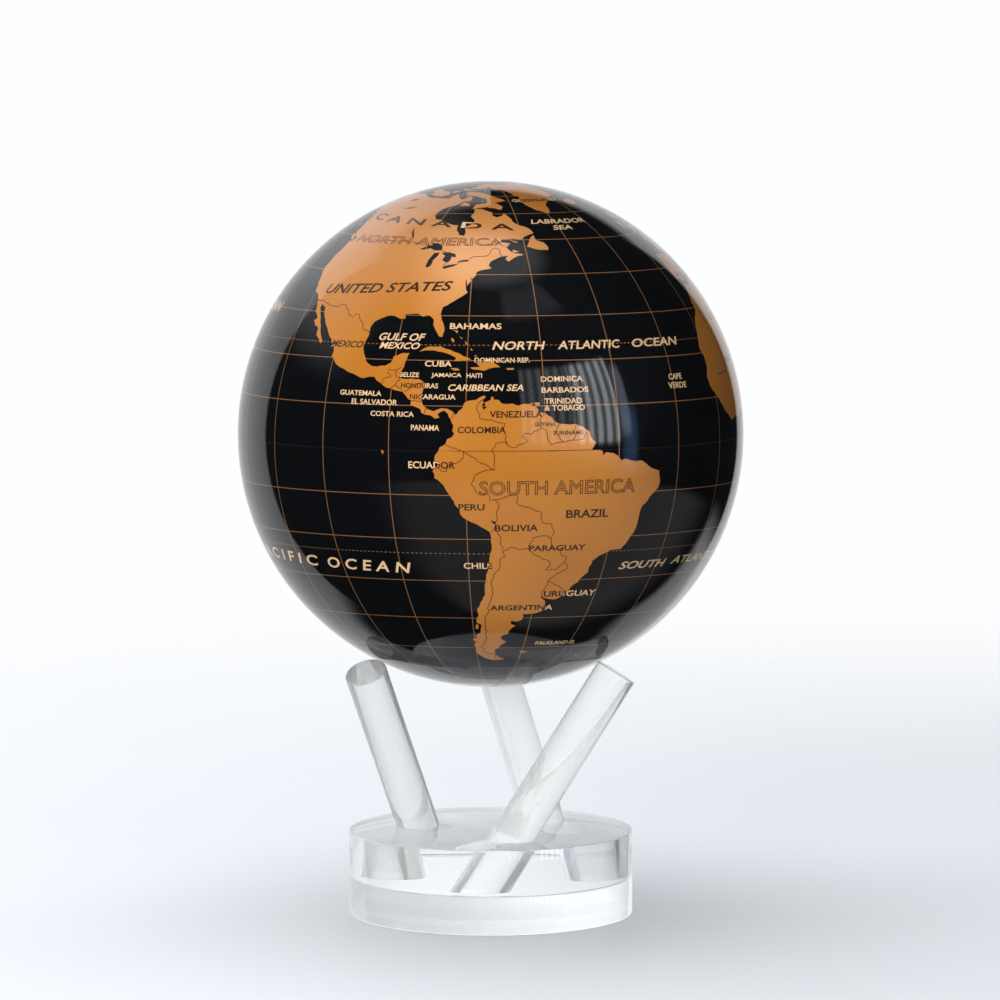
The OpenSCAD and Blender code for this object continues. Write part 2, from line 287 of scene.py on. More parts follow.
americas = pairs([
    -77.3, 8.6, -76.9, 8, -76.4, 8.9, -75.6, 9.6, -75.4, 10.6, -74.8, 11.1, -74.1, 11.3, -73.1, 11.4,
    -72.2, 12.1, -71.5, 12.4, -71.2, 12, -71.9, 11.5, -71.6, 10.9, -72, 10.1, -71.6, 9.2, -71.1, 9.8,
    -71.5, 10.8, -70.3, 11.4, -70.2, 12.1, -69.7, 12, -69.8, 11.5, -68.8, 11.4, -68.2, 10.6, -66.2, 10.6,
    -65.1, 10.1, -64.2, 10.5, -62, 10.7, -62.7, 10.1, -61.6, 9.8, -60.9, 8.6, -59.9, 8.4, -58.6, 7.4,
    -58.4, 6.8, -57.2, 6, -55.9, 5.9, -54.2, 5.9, -53, 5.4, -51.9, 4.6, -51.3, 4.2, -50.6, 2.2, -49.9, 1.7,
    -50.4, 0.8, -50.9, -0.2, -50.3, 0.1, -48.6, -0.3, -48.4, -1.4, -47.8, -0.6, -46.2, -0.9, -45.3, -1.5,
    -44.4, -2.7, -44, -2.4, -43.3, -2.3, -41.8, -2.8, -39.9, -2.8, -38.5, -3.7, -37.2, -4.7, -36, -5.1,
    -35.3, -5.3, -35.1, -6.6, -34.8, -7.6, -35.1, -9, -36.1, -10.2, -37.1, -11.2, -37.9, -12.6, -38.5, -13,
    -39, -14.3, -39.1, -16.5, -39.2, -17.7, -39.7, -19.4, -40.4, -20.6, -41, -21.8, -41.9, -22.9,
    -43.2, -23, -44.6, -23.1, -45.6, -23.8, -46.9, -24.3, -48.2, -25.4, -48.6, -26.8, -48.6, -28.2,
    -49.6, -29.2, -50.4, -30.6, -51.9, -31.9, -52.3, -33.1, -53.5, -34.2, -54.9, -34.9, -56.3, -34.8,
    -57.9, -34.4, -58.4, -33.8, -58.5, -34.4, -57.3, -35.3, -57.1, -36.3, -56.7, -36.9, -57.7, -38.1,
    -59.3, -38.7, -61.1, -38.9, -62.3, -38.8, -62, -39.5, -62.3, -40.6, -63.8, -41.1, -65, -40.8,
    -65.1, -41.6, -64.2, -42.1, -63.6, -42.4, -64.5, -42.9, -65.3, -44, -65.4, -44.9, -66.6, -45.3,
    -67.5, -46.1, -66.9, -47, -65.9, -47.5, -66, -48.1, -67.4, -49.1, -67.8, -50, -69, -50.7, -68.9, -51.7,
    -68.4, -52.4, -69.6, -52.5, -68.3, -53, -67.6, -53.8, -66.3, -54.4, -65.2, -54.7, -66.5, -55.1,
    -68.8, -55.4, -70.6, -55, -72.5, -54.2, -73.8, -53.2, -74.8, -52.3, -75.4, -51, -74.6, -50.1,
    -75.5, -49, -74.5, -48, -75.6, -46.7, -74.2, -46.4, -74.6, -45.4, -73.1, -44.6, -73, -43.2, -72.7, -42,
    -73.9, -41.4, -73.8, -40, -73.3, -39, -73.6, -37.3, -72.9, -36.4, -72.3, -35, -71.6, -33.5, -71.6, -32,
    -71.4, -30.2, -71.3, -28.5, -70.8, -27, -70.6, -25.4, -70.4, -23.3, -70.1, -21.3, -70.2, -19.5,
    -70.5, -18.3, -71.4, -17.6, -73, -16.5, -75, -15.5, -76.2, -14.2, -76.3, -13.2, -77.2, -12,
    -77.8, -10.6, -78.9, -8.5, -79.8, -7.1, -81, -6.1, -80.9, -5.4, -81.3, -4.5, -80.4, -3.4, -79.9, -2.5,
    -80.9, -2.2, -80.8, -1, -80.1, 0, -79.9, 0.8, -78.8, 1.5, -78.5, 2.6, -77.6, 3.1, -77.1, 3.9,
    -77.5, 4.4, -77.3, 5.7, -77.8, 7, -78.2, 7.6, -78.4, 8.3, -79.1, 9, -79.7, 8.8, -80.4, 8.2, -80, 7.4,
    -80.9, 7.2, -81.7, 7.9, -82.9, 8.1, -83.6, 8.5, -83.7, 9.2, -84.7, 9.7, -85.8, 10.1, -85.7, 11.1,
    -86.8, 12.1, -87.6, 13, -88.7, 13.2, -90.1, 13.7, -91.6, 14.1, -92.5, 14.8, -94, 16.1, -95.2, 16.1,
    -96.5, 15.7, -98, 16.2, -99.8, 16.8, -101.6, 17.6, -103.4, 18.3, -104.5, 19.2, -105.6, 20.2,
    -105.3, 21.3, -105.7, 22.6, -107, 24, -108.4, 25.2, -109.4, 26.4, -110.6, 27.5, -111.3, 28.4,
    -112.6, 30, -113.1, 31.1, -114.7, 31.8, -114.8, 30.8, -113.7, 29.4, -112.8, 28.2, -111.8, 26.8,
    -111, 25.2, -110.2, 24.2, -109.5, 23.4, -110, 22.9, -111.2, 24.1, -112.1, 24.7, -112.3, 26.1,
    -113.8, 26.8, -115, 27.8, -114.1, 28.5, -115.7, 29.8, -116.4, 31.3, -117.2, 32.7, -118.4, 33.8,
    -120.6, 34.6, -121.9, 36.6, -122.5, 37.8, -123.8, 39.3, -124.3, 40.4, -124.1, 42, -124.5, 42.9,
    -124, 45, -124.1, 46.7, -124.7, 48.3, -122.8, 48.1, -122.9, 49.1, -124.5, 50, -127.3, 51, -128, 52.6,
    -130.2, 54.4, -131.6, 55.6, -133.6, 57, -135, 58.3, -136.6, 58.3, -139.7, 59.6, -143.9, 60.1,
    -146.5, 60.9, -148.5, 60, -151.7, 59.3, -150.6, 61.1, -152.5, 60.2, -154.2, 58.6, -156.5, 57.1,
    -158.9, 55.9, -161.8, 55.1, -164.8, 54.6, -162.5, 55.7, -160.3, 56.3, -157.7, 57.7, -157.2, 58.8,
    -158.8, 58.6, -161.9, 58.7, -162, 59.8, -164.5, 60.4, -166, 61.7, -164.8, 62.9, -163, 63.2, -161, 63.8,
    -161.1, 64.5, -163.5, 64.5, -166.4, 64.7, -168.1, 65.6, -164.7, 66.5, -161.8, 66.3, -163.7, 67.2,
    -166.3, 68.3, -163.2, 69.7, -159.8, 70.7, -156.6, 71.3, -152, 70.8, -145, 70, -140, 69.6, -136, 69,
    -133, 69.5, -129.5, 70, -127.5, 70.4, -124.5, 70, -123, 69.6, -119, 69, -115, 68.3, -110, 67.9,
    -107.8, 68.2, -104.5, 68, -101, 67.8, -98, 68, -96, 68.3, -96.3, 69.8, -95, 71.7, -92.5, 70.5,
    -91.5, 69.6, -90.3, 68.5, -88, 67.7, -86.5, 68, -85.6, 69.5, -82.5, 69.7, -81.4, 68.5, -82, 66.8,
    -85.5, 66.3, -87, 65, -88.5, 64, -90.8, 63.4, -93.5, 62, -94.6, 60.2, -94.5, 58.8, -92.8, 57.3,
    -90.8, 57.2, -88, 56.5, -85, 55.3, -82.3, 55.1, -82, 53, -80.8, 51.6, -79.2, 51.3, -78.8, 52.4,
    -79.4, 54.6, -77, 55.8, -76.6, 57.2, -78.5, 58.8, -77.6, 60.2, -78, 62.3, -74, 62.2, -71.5, 61.2,
    -69.6, 60.6, -69.4, 59, -67.8, 58.4, -66, 58.9, -64.6, 60.3, -63.8, 59.4, -62, 57.6, -61.5, 56.2,
    -59.8, 55, -57.6, 54.4, -56, 53, -55.7, 52.2, -58.5, 51.3, -60.2, 50.2, -64, 50.3, -66.5, 50.2,
    -67.6, 49.3, -69.6, 47.9, -70.8, 47.1, -68.9, 48.3, -66.5, 49.2, -64.3, 48.9, -64.9, 48.1, -65.7, 47.7,
    -65, 46.9, -64.2, 46.2, -63.5, 45.8, -61.6, 45.7, -61, 45.3, -63.6, 44.6, -65.4, 43.5, -66.2, 44.2,
    -64.9, 45.2, -66.5, 45, -68.5, 44.4, -70.2, 43.6, -70.8, 42.7, -70.6, 42, -70, 41.7, -71.3, 41.4,
    -73.9, 40.7, -74.1, 39.7, -74.9, 38.9, -75.5, 39.4, -75.1, 38.4, -76, 37.2, -76.4, 39, -76.3, 37,
    -75.7, 35.5, -76.8, 34.7, -78, 33.9, -79.4, 33, -81.1, 32, -81.4, 30.6, -80.6, 28.4, -80.1, 26.6,
    -80.4, 25.2, -81.2, 25.3, -82.1, 26.8, -82.7, 27.9, -82.7, 29, -84, 30.1, -85.3, 29.7, -86.6, 30.4,
    -88.1, 30.3, -89.6, 30.2, -89.3, 29.2, -90.6, 29.1, -91.9, 29.7, -93.8, 29.7, -95, 29.2, -96.6, 28.4,
    -97.3, 27.2, -97.2, 25.5, -97.8, 23.3, -97.6, 21.8, -96.9, 20.4, -96.1, 19.1, -94.9, 18.4, -93.5, 18.4,
    -92, 18.6, -90.8, 19.3, -90.4, 20.7, -88.5, 21.5, -87, 21.5, -87.4, 20.2, -87.8, 18.5, -88.3, 17.4,
    -88.9, 15.9, -87.5, 15.8, -86, 15.9, -84.3, 15.8, -83.2, 15, -83.5, 13.2, -83.7, 11.6, -83.5, 10.6,
    -82.4, 9.3, -81.2, 8.8, -79.8, 9.5, -78.6, 9.4, -77.6, 8.9])
eurasia = pairs([
    -9.2, 43.2, -8, 43.7, -4, 43.4, -1.6, 43.4, -1.2, 45.5, -2.5, 47.3, -4.6, 48.3, -1.6, 48.7, -1.8, 49.6,
    0.2, 49.5, 1.6, 50.6, 3.5, 51.5, 4.8, 53, 7, 53.5, 8.6, 53.9, 8.2, 56, 9.6, 57.2, 10.6, 57.7,
    10.3, 56.4, 9.6, 55.2, 10.9, 54.3, 13, 54.4, 14.3, 53.9, 18.4, 54.8, 20.8, 55, 21.2, 57.2, 24.2, 57.2,
    23.6, 59.2, 28, 59.6, 30, 60, 25, 60.2, 22.6, 60.1, 21.4, 61.2, 22, 62.8, 25.2, 65, 22.3, 65.8,
    21.3, 64.7, 17.5, 62.4, 17.2, 60.7, 18.8, 59.6, 16.6, 58.4, 16, 56.4, 14.2, 55.5, 12.8, 55.5,
    11.4, 58.8, 10.5, 59.4, 8, 58.1, 5.6, 58.8, 5.1, 61, 6.8, 62.8, 10.4, 64.3, 12.7, 66.2, 15.2, 68.4,
    19, 69.9, 25, 71, 30.8, 70.3, 33, 69.4, 41, 67.4, 40.5, 66.4, 35, 66.4, 34.8, 64.5, 37.5, 64, 37.2, 65,
    40.2, 64.6, 40, 65.8, 43.8, 66.1, 44.2, 68, 46.4, 66.9, 46.7, 68, 53, 68.8, 60.2, 68.9, 60.8, 69.8,
    67, 69.2, 68.8, 72.6, 72.6, 72.8, 72.2, 68.4, 74.6, 68.8, 74.2, 72, 80.5, 72.2, 80.6, 73.6, 87, 75.1,
    98, 76.2, 104.2, 77.6, 113.2, 75.6, 106.4, 73.2, 113.4, 73.7, 123.2, 73.1, 129, 71, 137.4, 71.4,
    141, 72.6, 149.4, 72.2, 160.2, 70, 170.6, 69.1, 176, 69.8, 190, 66.2, 187.4, 64.4, 182, 65.4,
    177.6, 64.7, 179.2, 62.5, 170.4, 60, 163.6, 59.9, 162.9, 57.9, 162.1, 54.8, 156.8, 51.1, 155.6, 55.6,
    157, 57.8, 163.6, 61.6, 160, 61.8, 154.4, 59.5, 149, 59.5, 142.4, 59.2, 135.3, 54.8, 140.2, 53.9,
    140.4, 48.8, 135.4, 44.2, 131, 42.8, 127.6, 39.6, 129.4, 36.8, 129, 35.2, 126.4, 34.5, 126.2, 37.6,
    124.8, 39.7, 121.4, 39, 121.8, 40.8, 117.8, 39, 119, 37.2, 122.4, 37.3, 119.3, 35, 121.8, 31.2,
    121.6, 28.4, 118.6, 24.6, 114.2, 22.3, 110.5, 21.2, 109.8, 20.3, 108.2, 21.6, 105.8, 19, 109.2, 12.8,
    106.6, 10.4, 104.8, 8.7, 105, 10.2, 102.4, 12.2, 100.9, 13.4, 100, 13.3, 99.2, 10.4, 100.3, 8.4,
    103.4, 4.4, 104.2, 1.4, 103.4, 1.4, 100.9, 3.8, 98.3, 8, 98.7, 11.4, 97.6, 16.4, 94.6, 15.9, 94.2, 18.8,
    91.8, 22.4, 88.9, 21.8, 87, 21.4, 85.2, 19.6, 82.2, 16.6, 80.2, 15.2, 79.9, 10.4, 77.6, 8.1, 76.2, 10.2,
    74.4, 14.6, 72.8, 19.2, 72.6, 21.4, 70.4, 20.9, 69, 22.4, 67.2, 24.8, 61.6, 25.2, 57.3, 25.7,
    56.6, 27.1, 52.6, 27.5, 50.2, 30.1, 48.6, 30, 48.2, 29, 50.2, 26.6, 51.4, 24.6, 54.4, 24.2, 56.3, 26.2,
    56.6, 24.3, 59.8, 22.4, 57.8, 19, 55.2, 17.4, 52.2, 15.6, 45.2, 12.8, 43.4, 12.8, 42.7, 16.6,
    39.1, 21.2, 35.2, 28, 34.9, 29.5, 34.2, 27.9, 32.6, 29.9, 32.4, 31.2, 34.3, 31.3, 35.1, 33.2, 35.9, 36,
    32.6, 36.1, 30.6, 36.8, 27.4, 36.8, 26.2, 39.4, 29.2, 41.2, 34.9, 42, 38.4, 40.9, 41.6, 41.6,
    37.4, 44.7, 39.2, 47.2, 35, 46.2, 36.4, 45.3, 33.6, 44.5, 32.6, 46, 30.7, 46.4, 28.6, 43.8, 28, 41.8,
    26.2, 40.8, 23.7, 40.3, 24, 37.8, 22.8, 36.5, 21.3, 37.6, 19.4, 41.4, 15.2, 44.2, 13.6, 45.6,
    12.3, 45.2, 12.6, 44, 16, 41.8, 18.4, 40.2, 16.8, 40.4, 16.6, 39, 15.8, 38, 15.6, 40, 12.4, 41.7,
    10.4, 43.4, 8.8, 44.4, 5, 43.4, 3.2, 42.2, 0, 40, -0.4, 38.4, -2.1, 36.8, -5.4, 36.1, -6.4, 36.9,
    -8.9, 37, -9.4, 38.8, -8.8, 41.6])
africa = pairs([
    -5.9, 35.8, -2, 35.1, 3, 36.8, 10, 37.3, 10.8, 34.8, 15.2, 32.3, 19.6, 30.4, 20.2, 32.4, 23.2, 32.6,
    29, 30.9, 32.3, 31.2, 32.6, 29.9, 35.6, 23.9, 37.3, 21, 37.4, 18.6, 39.6, 15.4, 43.2, 11.8, 44.8, 10.5,
    51.2, 11.8, 50.6, 9.2, 47.6, 4.4, 42.6, -0.6, 39.4, -4.6, 39.2, -8.4, 40.6, -12, 40.5, -15.6,
    34.9, -19.9, 35.4, -23.8, 32.7, -26, 31.2, -29.4, 28, -32.8, 25.6, -34, 20, -34.8, 18.4, -34,
    18.2, -31.8, 15.2, -27, 14.4, -22.4, 11.8, -17.6, 13.6, -12.4, 13.2, -8.8, 11.9, -5, 9, -0.8, 9.6, 2.4,
    9.6, 4, 8.4, 4.6, 6, 4.3, 4.4, 6.3, 1.2, 6.1, -2, 4.8, -4.6, 5.2, -7.6, 4.4, -11.4, 6.9, -13.2, 8.8,
    -15, 10.9, -16.8, 12.6, -17.4, 14.7, -16.4, 16.4, -16.2, 19.2, -17, 21, -15.8, 23.8, -14.4, 26.2,
    -12.8, 27.9, -9.8, 29.6, -9.8, 31.4, -8, 33.4, -6.4, 34.6])
greenland = pairs([
    -44.8, 60, -43, 60.1, -40.5, 64, -37, 65.7, -31, 68.1, -22.5, 70.2, -21.5, 72.5, -18.5, 75.2,
    -20.5, 77.5, -17, 80, -12.5, 81.6, -22, 82.4, -33, 83.6, -45, 82.2, -58, 82, -66, 80.6, -72.5, 78.4,
    -68.5, 76, -59, 75.6, -55, 72.5, -54.5, 70.6, -51, 69.8, -53.5, 67.2, -52, 64.4, -49, 61.6, -46.5, 60.8])
australia = pairs([
    113.8, -22.6, 117.2, -20.6, 122.2, -18, 125.8, -14.2, 129.2, -15, 131, -12.1, 136.6, -12.2, 135.6, -15,
    140.2, -17.7, 142.2, -10.8, 145.4, -15, 146.4, -19, 150.8, -23.4, 153.4, -27.6, 151.6, -33.2,
    149.9, -37.4, 146.4, -39, 143.6, -38.7, 140.2, -37.8, 137.8, -35.4, 138, -33.2, 135.6, -34.8,
    132.2, -32, 128, -31.8, 123.8, -33.9, 118.2, -35, 115.2, -34.2, 115.7, -31.6, 113.6, -26.6])
antarctica = pairs([
    -58, -63.4, -63.5, -64.8, -66, -67.8, -70.5, -72.6, -80, -73.2, -100, -73.4, -113, -74.4, -133, -74.6,
    -148, -76.4, -158, -78.4, -178, -78.4, -196, -77.6, -190, -71.6, -205, -69.4, -222, -66.8, -245, -66.4,
    -267, -66.6, -282, -67.6, -292, -69.8, -303, -67.4, -320, -69, -345, -70.4, -368, -71.2, -385, -75.4,
    -398, -78, -416, -77.6, -421, -74, -421.5, -69, -419.5, -65.6])
# the print draws it smaller than it is
antarctica = [(east, -90 + (north + 90) * 0.6) for east, north in antarctica]
# island outlines, the northern ones first
northIslands = [pairs(line) for line in (
    [-79, 62.4, -72, 63.5, -65.5, 61.9, -64.5, 63.8, -68, 66, -62, 67, -68.5, 70.2, -77, 72.7, -89, 73.6,
     -88, 70.8, -79, 70, -73, 68.2, -72.5, 65.5, -78, 64.6],
    [-117, 69.8, -105, 69.2, -101.5, 70.5, -105, 73, -115, 73.4, -118.5, 71.5],
    [-125, 72, -119, 71.6, -115.5, 73.6, -120, 74.4, -124.5, 74.2],
    [-86, 63.8, -81, 63.9, -81.5, 65, -85, 65.9],
    [-78, 76.2, -62, 82.2, -75, 83.1, -90, 81.6, -87, 79, -90, 76.4],
    [-97, 76.5, -80, 74.7, -91, 74.7, -97, 75], [-100, 71.8, -96, 73.8, -101.5, 74, -102.5, 72.8],
    [-59.3, 47.8, -55.8, 46.8, -53, 46.7, -52.8, 47.7, -53.6, 49, -55.8, 49.8, -56, 51.5, -57.2, 50.8,
     -58.4, 49], [-64, 46, -62, 46.3, -63.8, 46.9], [-64.4, 49.9, -61.8, 49.2, -62.4, 49],
    [-128.3, 50.7, -125.5, 50.2, -123.4, 48.4, -125.4, 48.8], [-132.6, 54, -131.3, 54, -131.4, 52.2],
    [-154.6, 57.4, -152.2, 58.3, -152.8, 57.2],
    [-24, 65.6, -21.5, 66.4, -16, 66.4, -13.6, 65, -18.6, 63.4, -22.6, 63.9],
    [-5.6, 50.1, -3.4, 51.4, -5.2, 51.8, -4.4, 53.2, -3, 54.6, -5.2, 55.8, -6.2, 57.4, -5, 58.6, -2, 57.6,
     -1.4, 54.8, 0.2, 52.8, 1.7, 52.6, 1.2, 51.1, -2, 50.6],
    [-10, 52, -6.4, 52.2, -6, 54.4, -7.6, 55.3, -10, 54.2],
    [12, 77.6, 18, 76.7, 24, 78.4, 22, 80.3, 14, 79.8], [52, 71, 57, 70.6, 68, 76.8, 58, 75.4],
    [95, 80, 105, 79, 102, 78, 94, 79], [138, 75.6, 150, 75, 142, 73.6],
    [142, 46, 143.4, 49.2, 143, 54.2, 142, 52], [140.2, 42, 141.8, 45.4, 145.4, 43.4, 142.6, 42.2],
    [130, 31.4, 129.8, 33.2, 132.6, 34.4, 136.6, 37, 139.6, 38.6, 140.2, 41, 141.9, 39.6, 140.8, 36,
     137.2, 34.7, 135, 33.8, 132, 33], [120.2, 22.6, 121.6, 25.2, 121, 22.2],
    [108.8, 19.2, 110.8, 20, 109.6, 18.3],
    [120, 16, 120.8, 18.5, 122.2, 18.2, 121.6, 15.8, 124, 13, 120.8, 13.8],
    [122, 7, 125.4, 9.8, 126.4, 7, 124, 6.2], [80, 6.4, 79.9, 9.6, 81.8, 7.4],
    [8.4, 39, 8.6, 41.2, 9.7, 40.8, 9.5, 39.2], [8.7, 41.6, 9.4, 43, 9.4, 41.7],
    [12.5, 38, 15.5, 38.2, 15, 36.8], [23.6, 35.4, 26.2, 35.2, 24.8, 35], [32.4, 34.9, 34.4, 35.6, 33, 34.6])]
warmIslands = [pairs(line) for line in (
    [-84.9, 21.9, -83.2, 23, -80.6, 23.1, -77.6, 21.9, -74.2, 20.3, -77.6, 19.9, -77.2, 20.6, -79, 21.5,
     -81.8, 22.2, -83.6, 22.2],
    [-74.4, 18.5, -72.4, 18.6, -73.3, 19.8, -71.7, 19.8, -69.9, 19.7, -68.4, 18.6, -70.6, 18.3, -71.6, 17.8,
     -73.8, 18.1], [-78.3, 18.3, -77, 18.4, -76.3, 17.9, -77.4, 17.8],
    [-67.2, 18.4, -65.7, 18.4, -65.8, 18, -67.1, 18], [-61.9, 10.8, -60.9, 10.8, -61, 10.1, -61.8, 10.1],
    [-78.3, 26.8, -77.2, 26.6, -77.3, 26, -77.8, 26.5], [-78.4, 25.1, -77.8, 24.5, -78, 23.9, -78.5, 24.6],
    [-76.8, 25.4, -76.1, 24.9, -76.4, 24.8], [-75.6, 24.4, -75, 23.6, -75.4, 23.5],
    [-74.3, 22.8, -73.9, 22.2, -74.4, 22.4], [-73.4, 21.3, -73, 20.9, -73.6, 21],
    [-91.6, 0.1, -90.9, -0.4, -91.3, -1.1], [-155.9, 20.2, -154.9, 19.5, -155.8, 18.9],
    [95.4, 5.6, 98, 5.2, 103.4, -0.8, 106, -3.2, 105.8, -5.9, 102, -3.8, 98.6, 1.6],
    [105.2, -6.6, 108.6, -6.6, 114.4, -7.6, 114.4, -8.7, 108, -7.8],
    [109, 1.6, 111.4, 2.4, 117, 7, 119, 5.2, 117.6, 1, 116, -3.8, 111.4, -3.4, 110, -1.4],
    [119.6, 0.2, 121, 1.2, 125, 1.6, 123, 0.4, 120.4, 0.2, 123.2, -1, 121.6, -2.2, 122.4, -5, 120.6, -3,
     119.6, -5.6],
    [131, -0.8, 134.2, -0.8, 137.8, -1.6, 144, -3.8, 147.8, -6, 150.6, -10.4, 147, -9.6, 143, -9.2,
     138, -8.2, 137.8, -5.2, 132.8, -4, 133.6, -2.4],
    [43.4, -22, 44.2, -16.4, 49.2, -12, 50.4, -15.8, 47.2, -25, 44.6, -25.2],
    [172.8, -34.6, 175.4, -36.8, 178.4, -37.8, 175.2, -41.6, 173.8, -39.2, 174.8, -37.2],
    [172.8, -40.6, 174.2, -41.8, 171, -45.8, 168.4, -46.6, 166.6, -45.8],
    [144.8, -40.8, 148.2, -40.9, 147, -43.5, 146, -43.4], [-61, -51.4, -57.9, -51.5, -59.6, -52.3],
    [-38, -54.1, -36, -54.4, -37, -54.6], [-74.2, -41.9, -73.5, -42, -73.8, -43.4, -74.4, -43.2],
    [164, -20.2, 167, -22.3, 166, -22], [177.4, -17.6, 178.5, -18, 177.6, -18.2])]
lakes = [pairs(line) for line in (
    [-92, 46.8, -89.4, 48.1, -88.2, 48.8, -86.4, 48.7, -84.9, 47.8, -84.8, 46.6, -87.2, 46.6, -88.4, 47.2,
     -90.4, 46.7],
    [-88, 42, -87.8, 43.8, -86.8, 45.8, -85.2, 46, -85.4, 45, -86.4, 43.8, -86.6, 42.2, -87.4, 41.7],
    [-84.6, 45.9, -82.6, 46.1, -80.4, 45.6, -80, 44.6, -81.3, 44.8, -81.7, 43.4, -82.5, 43.1, -83.8, 43.8,
     -83.3, 45], [-83.4, 41.8, -81.6, 42.5, -78.9, 42.9, -80.2, 42.1, -82.6, 41.4],
    [-79.7, 43.3, -78, 43.9, -76.3, 44, -76.4, 43.5, -79, 43.2],
    [-99, 53.8, -96.6, 51, -96.4, 50.6, -97, 50.6, -98.6, 52.2],
    [-117, 61.2, -113, 62.3, -109.6, 62.8, -112, 61.4], [-124.6, 66, -119.4, 67, -118, 65.8, -122, 65],
    [-70.2, -15.6, -69.1, -16.1, -69.6, -16.5, -70.2, -15.9],
    [47, 45.5, 51.4, 47, 53, 46.6, 51, 44.4, 53.8, 41.4, 53.8, 37, 49.2, 37.5, 49.6, 40.4, 47.6, 42.8],
    [31.7, 0.2, 34.2, 0.3, 33.6, -2.4, 31.8, -2.4])]
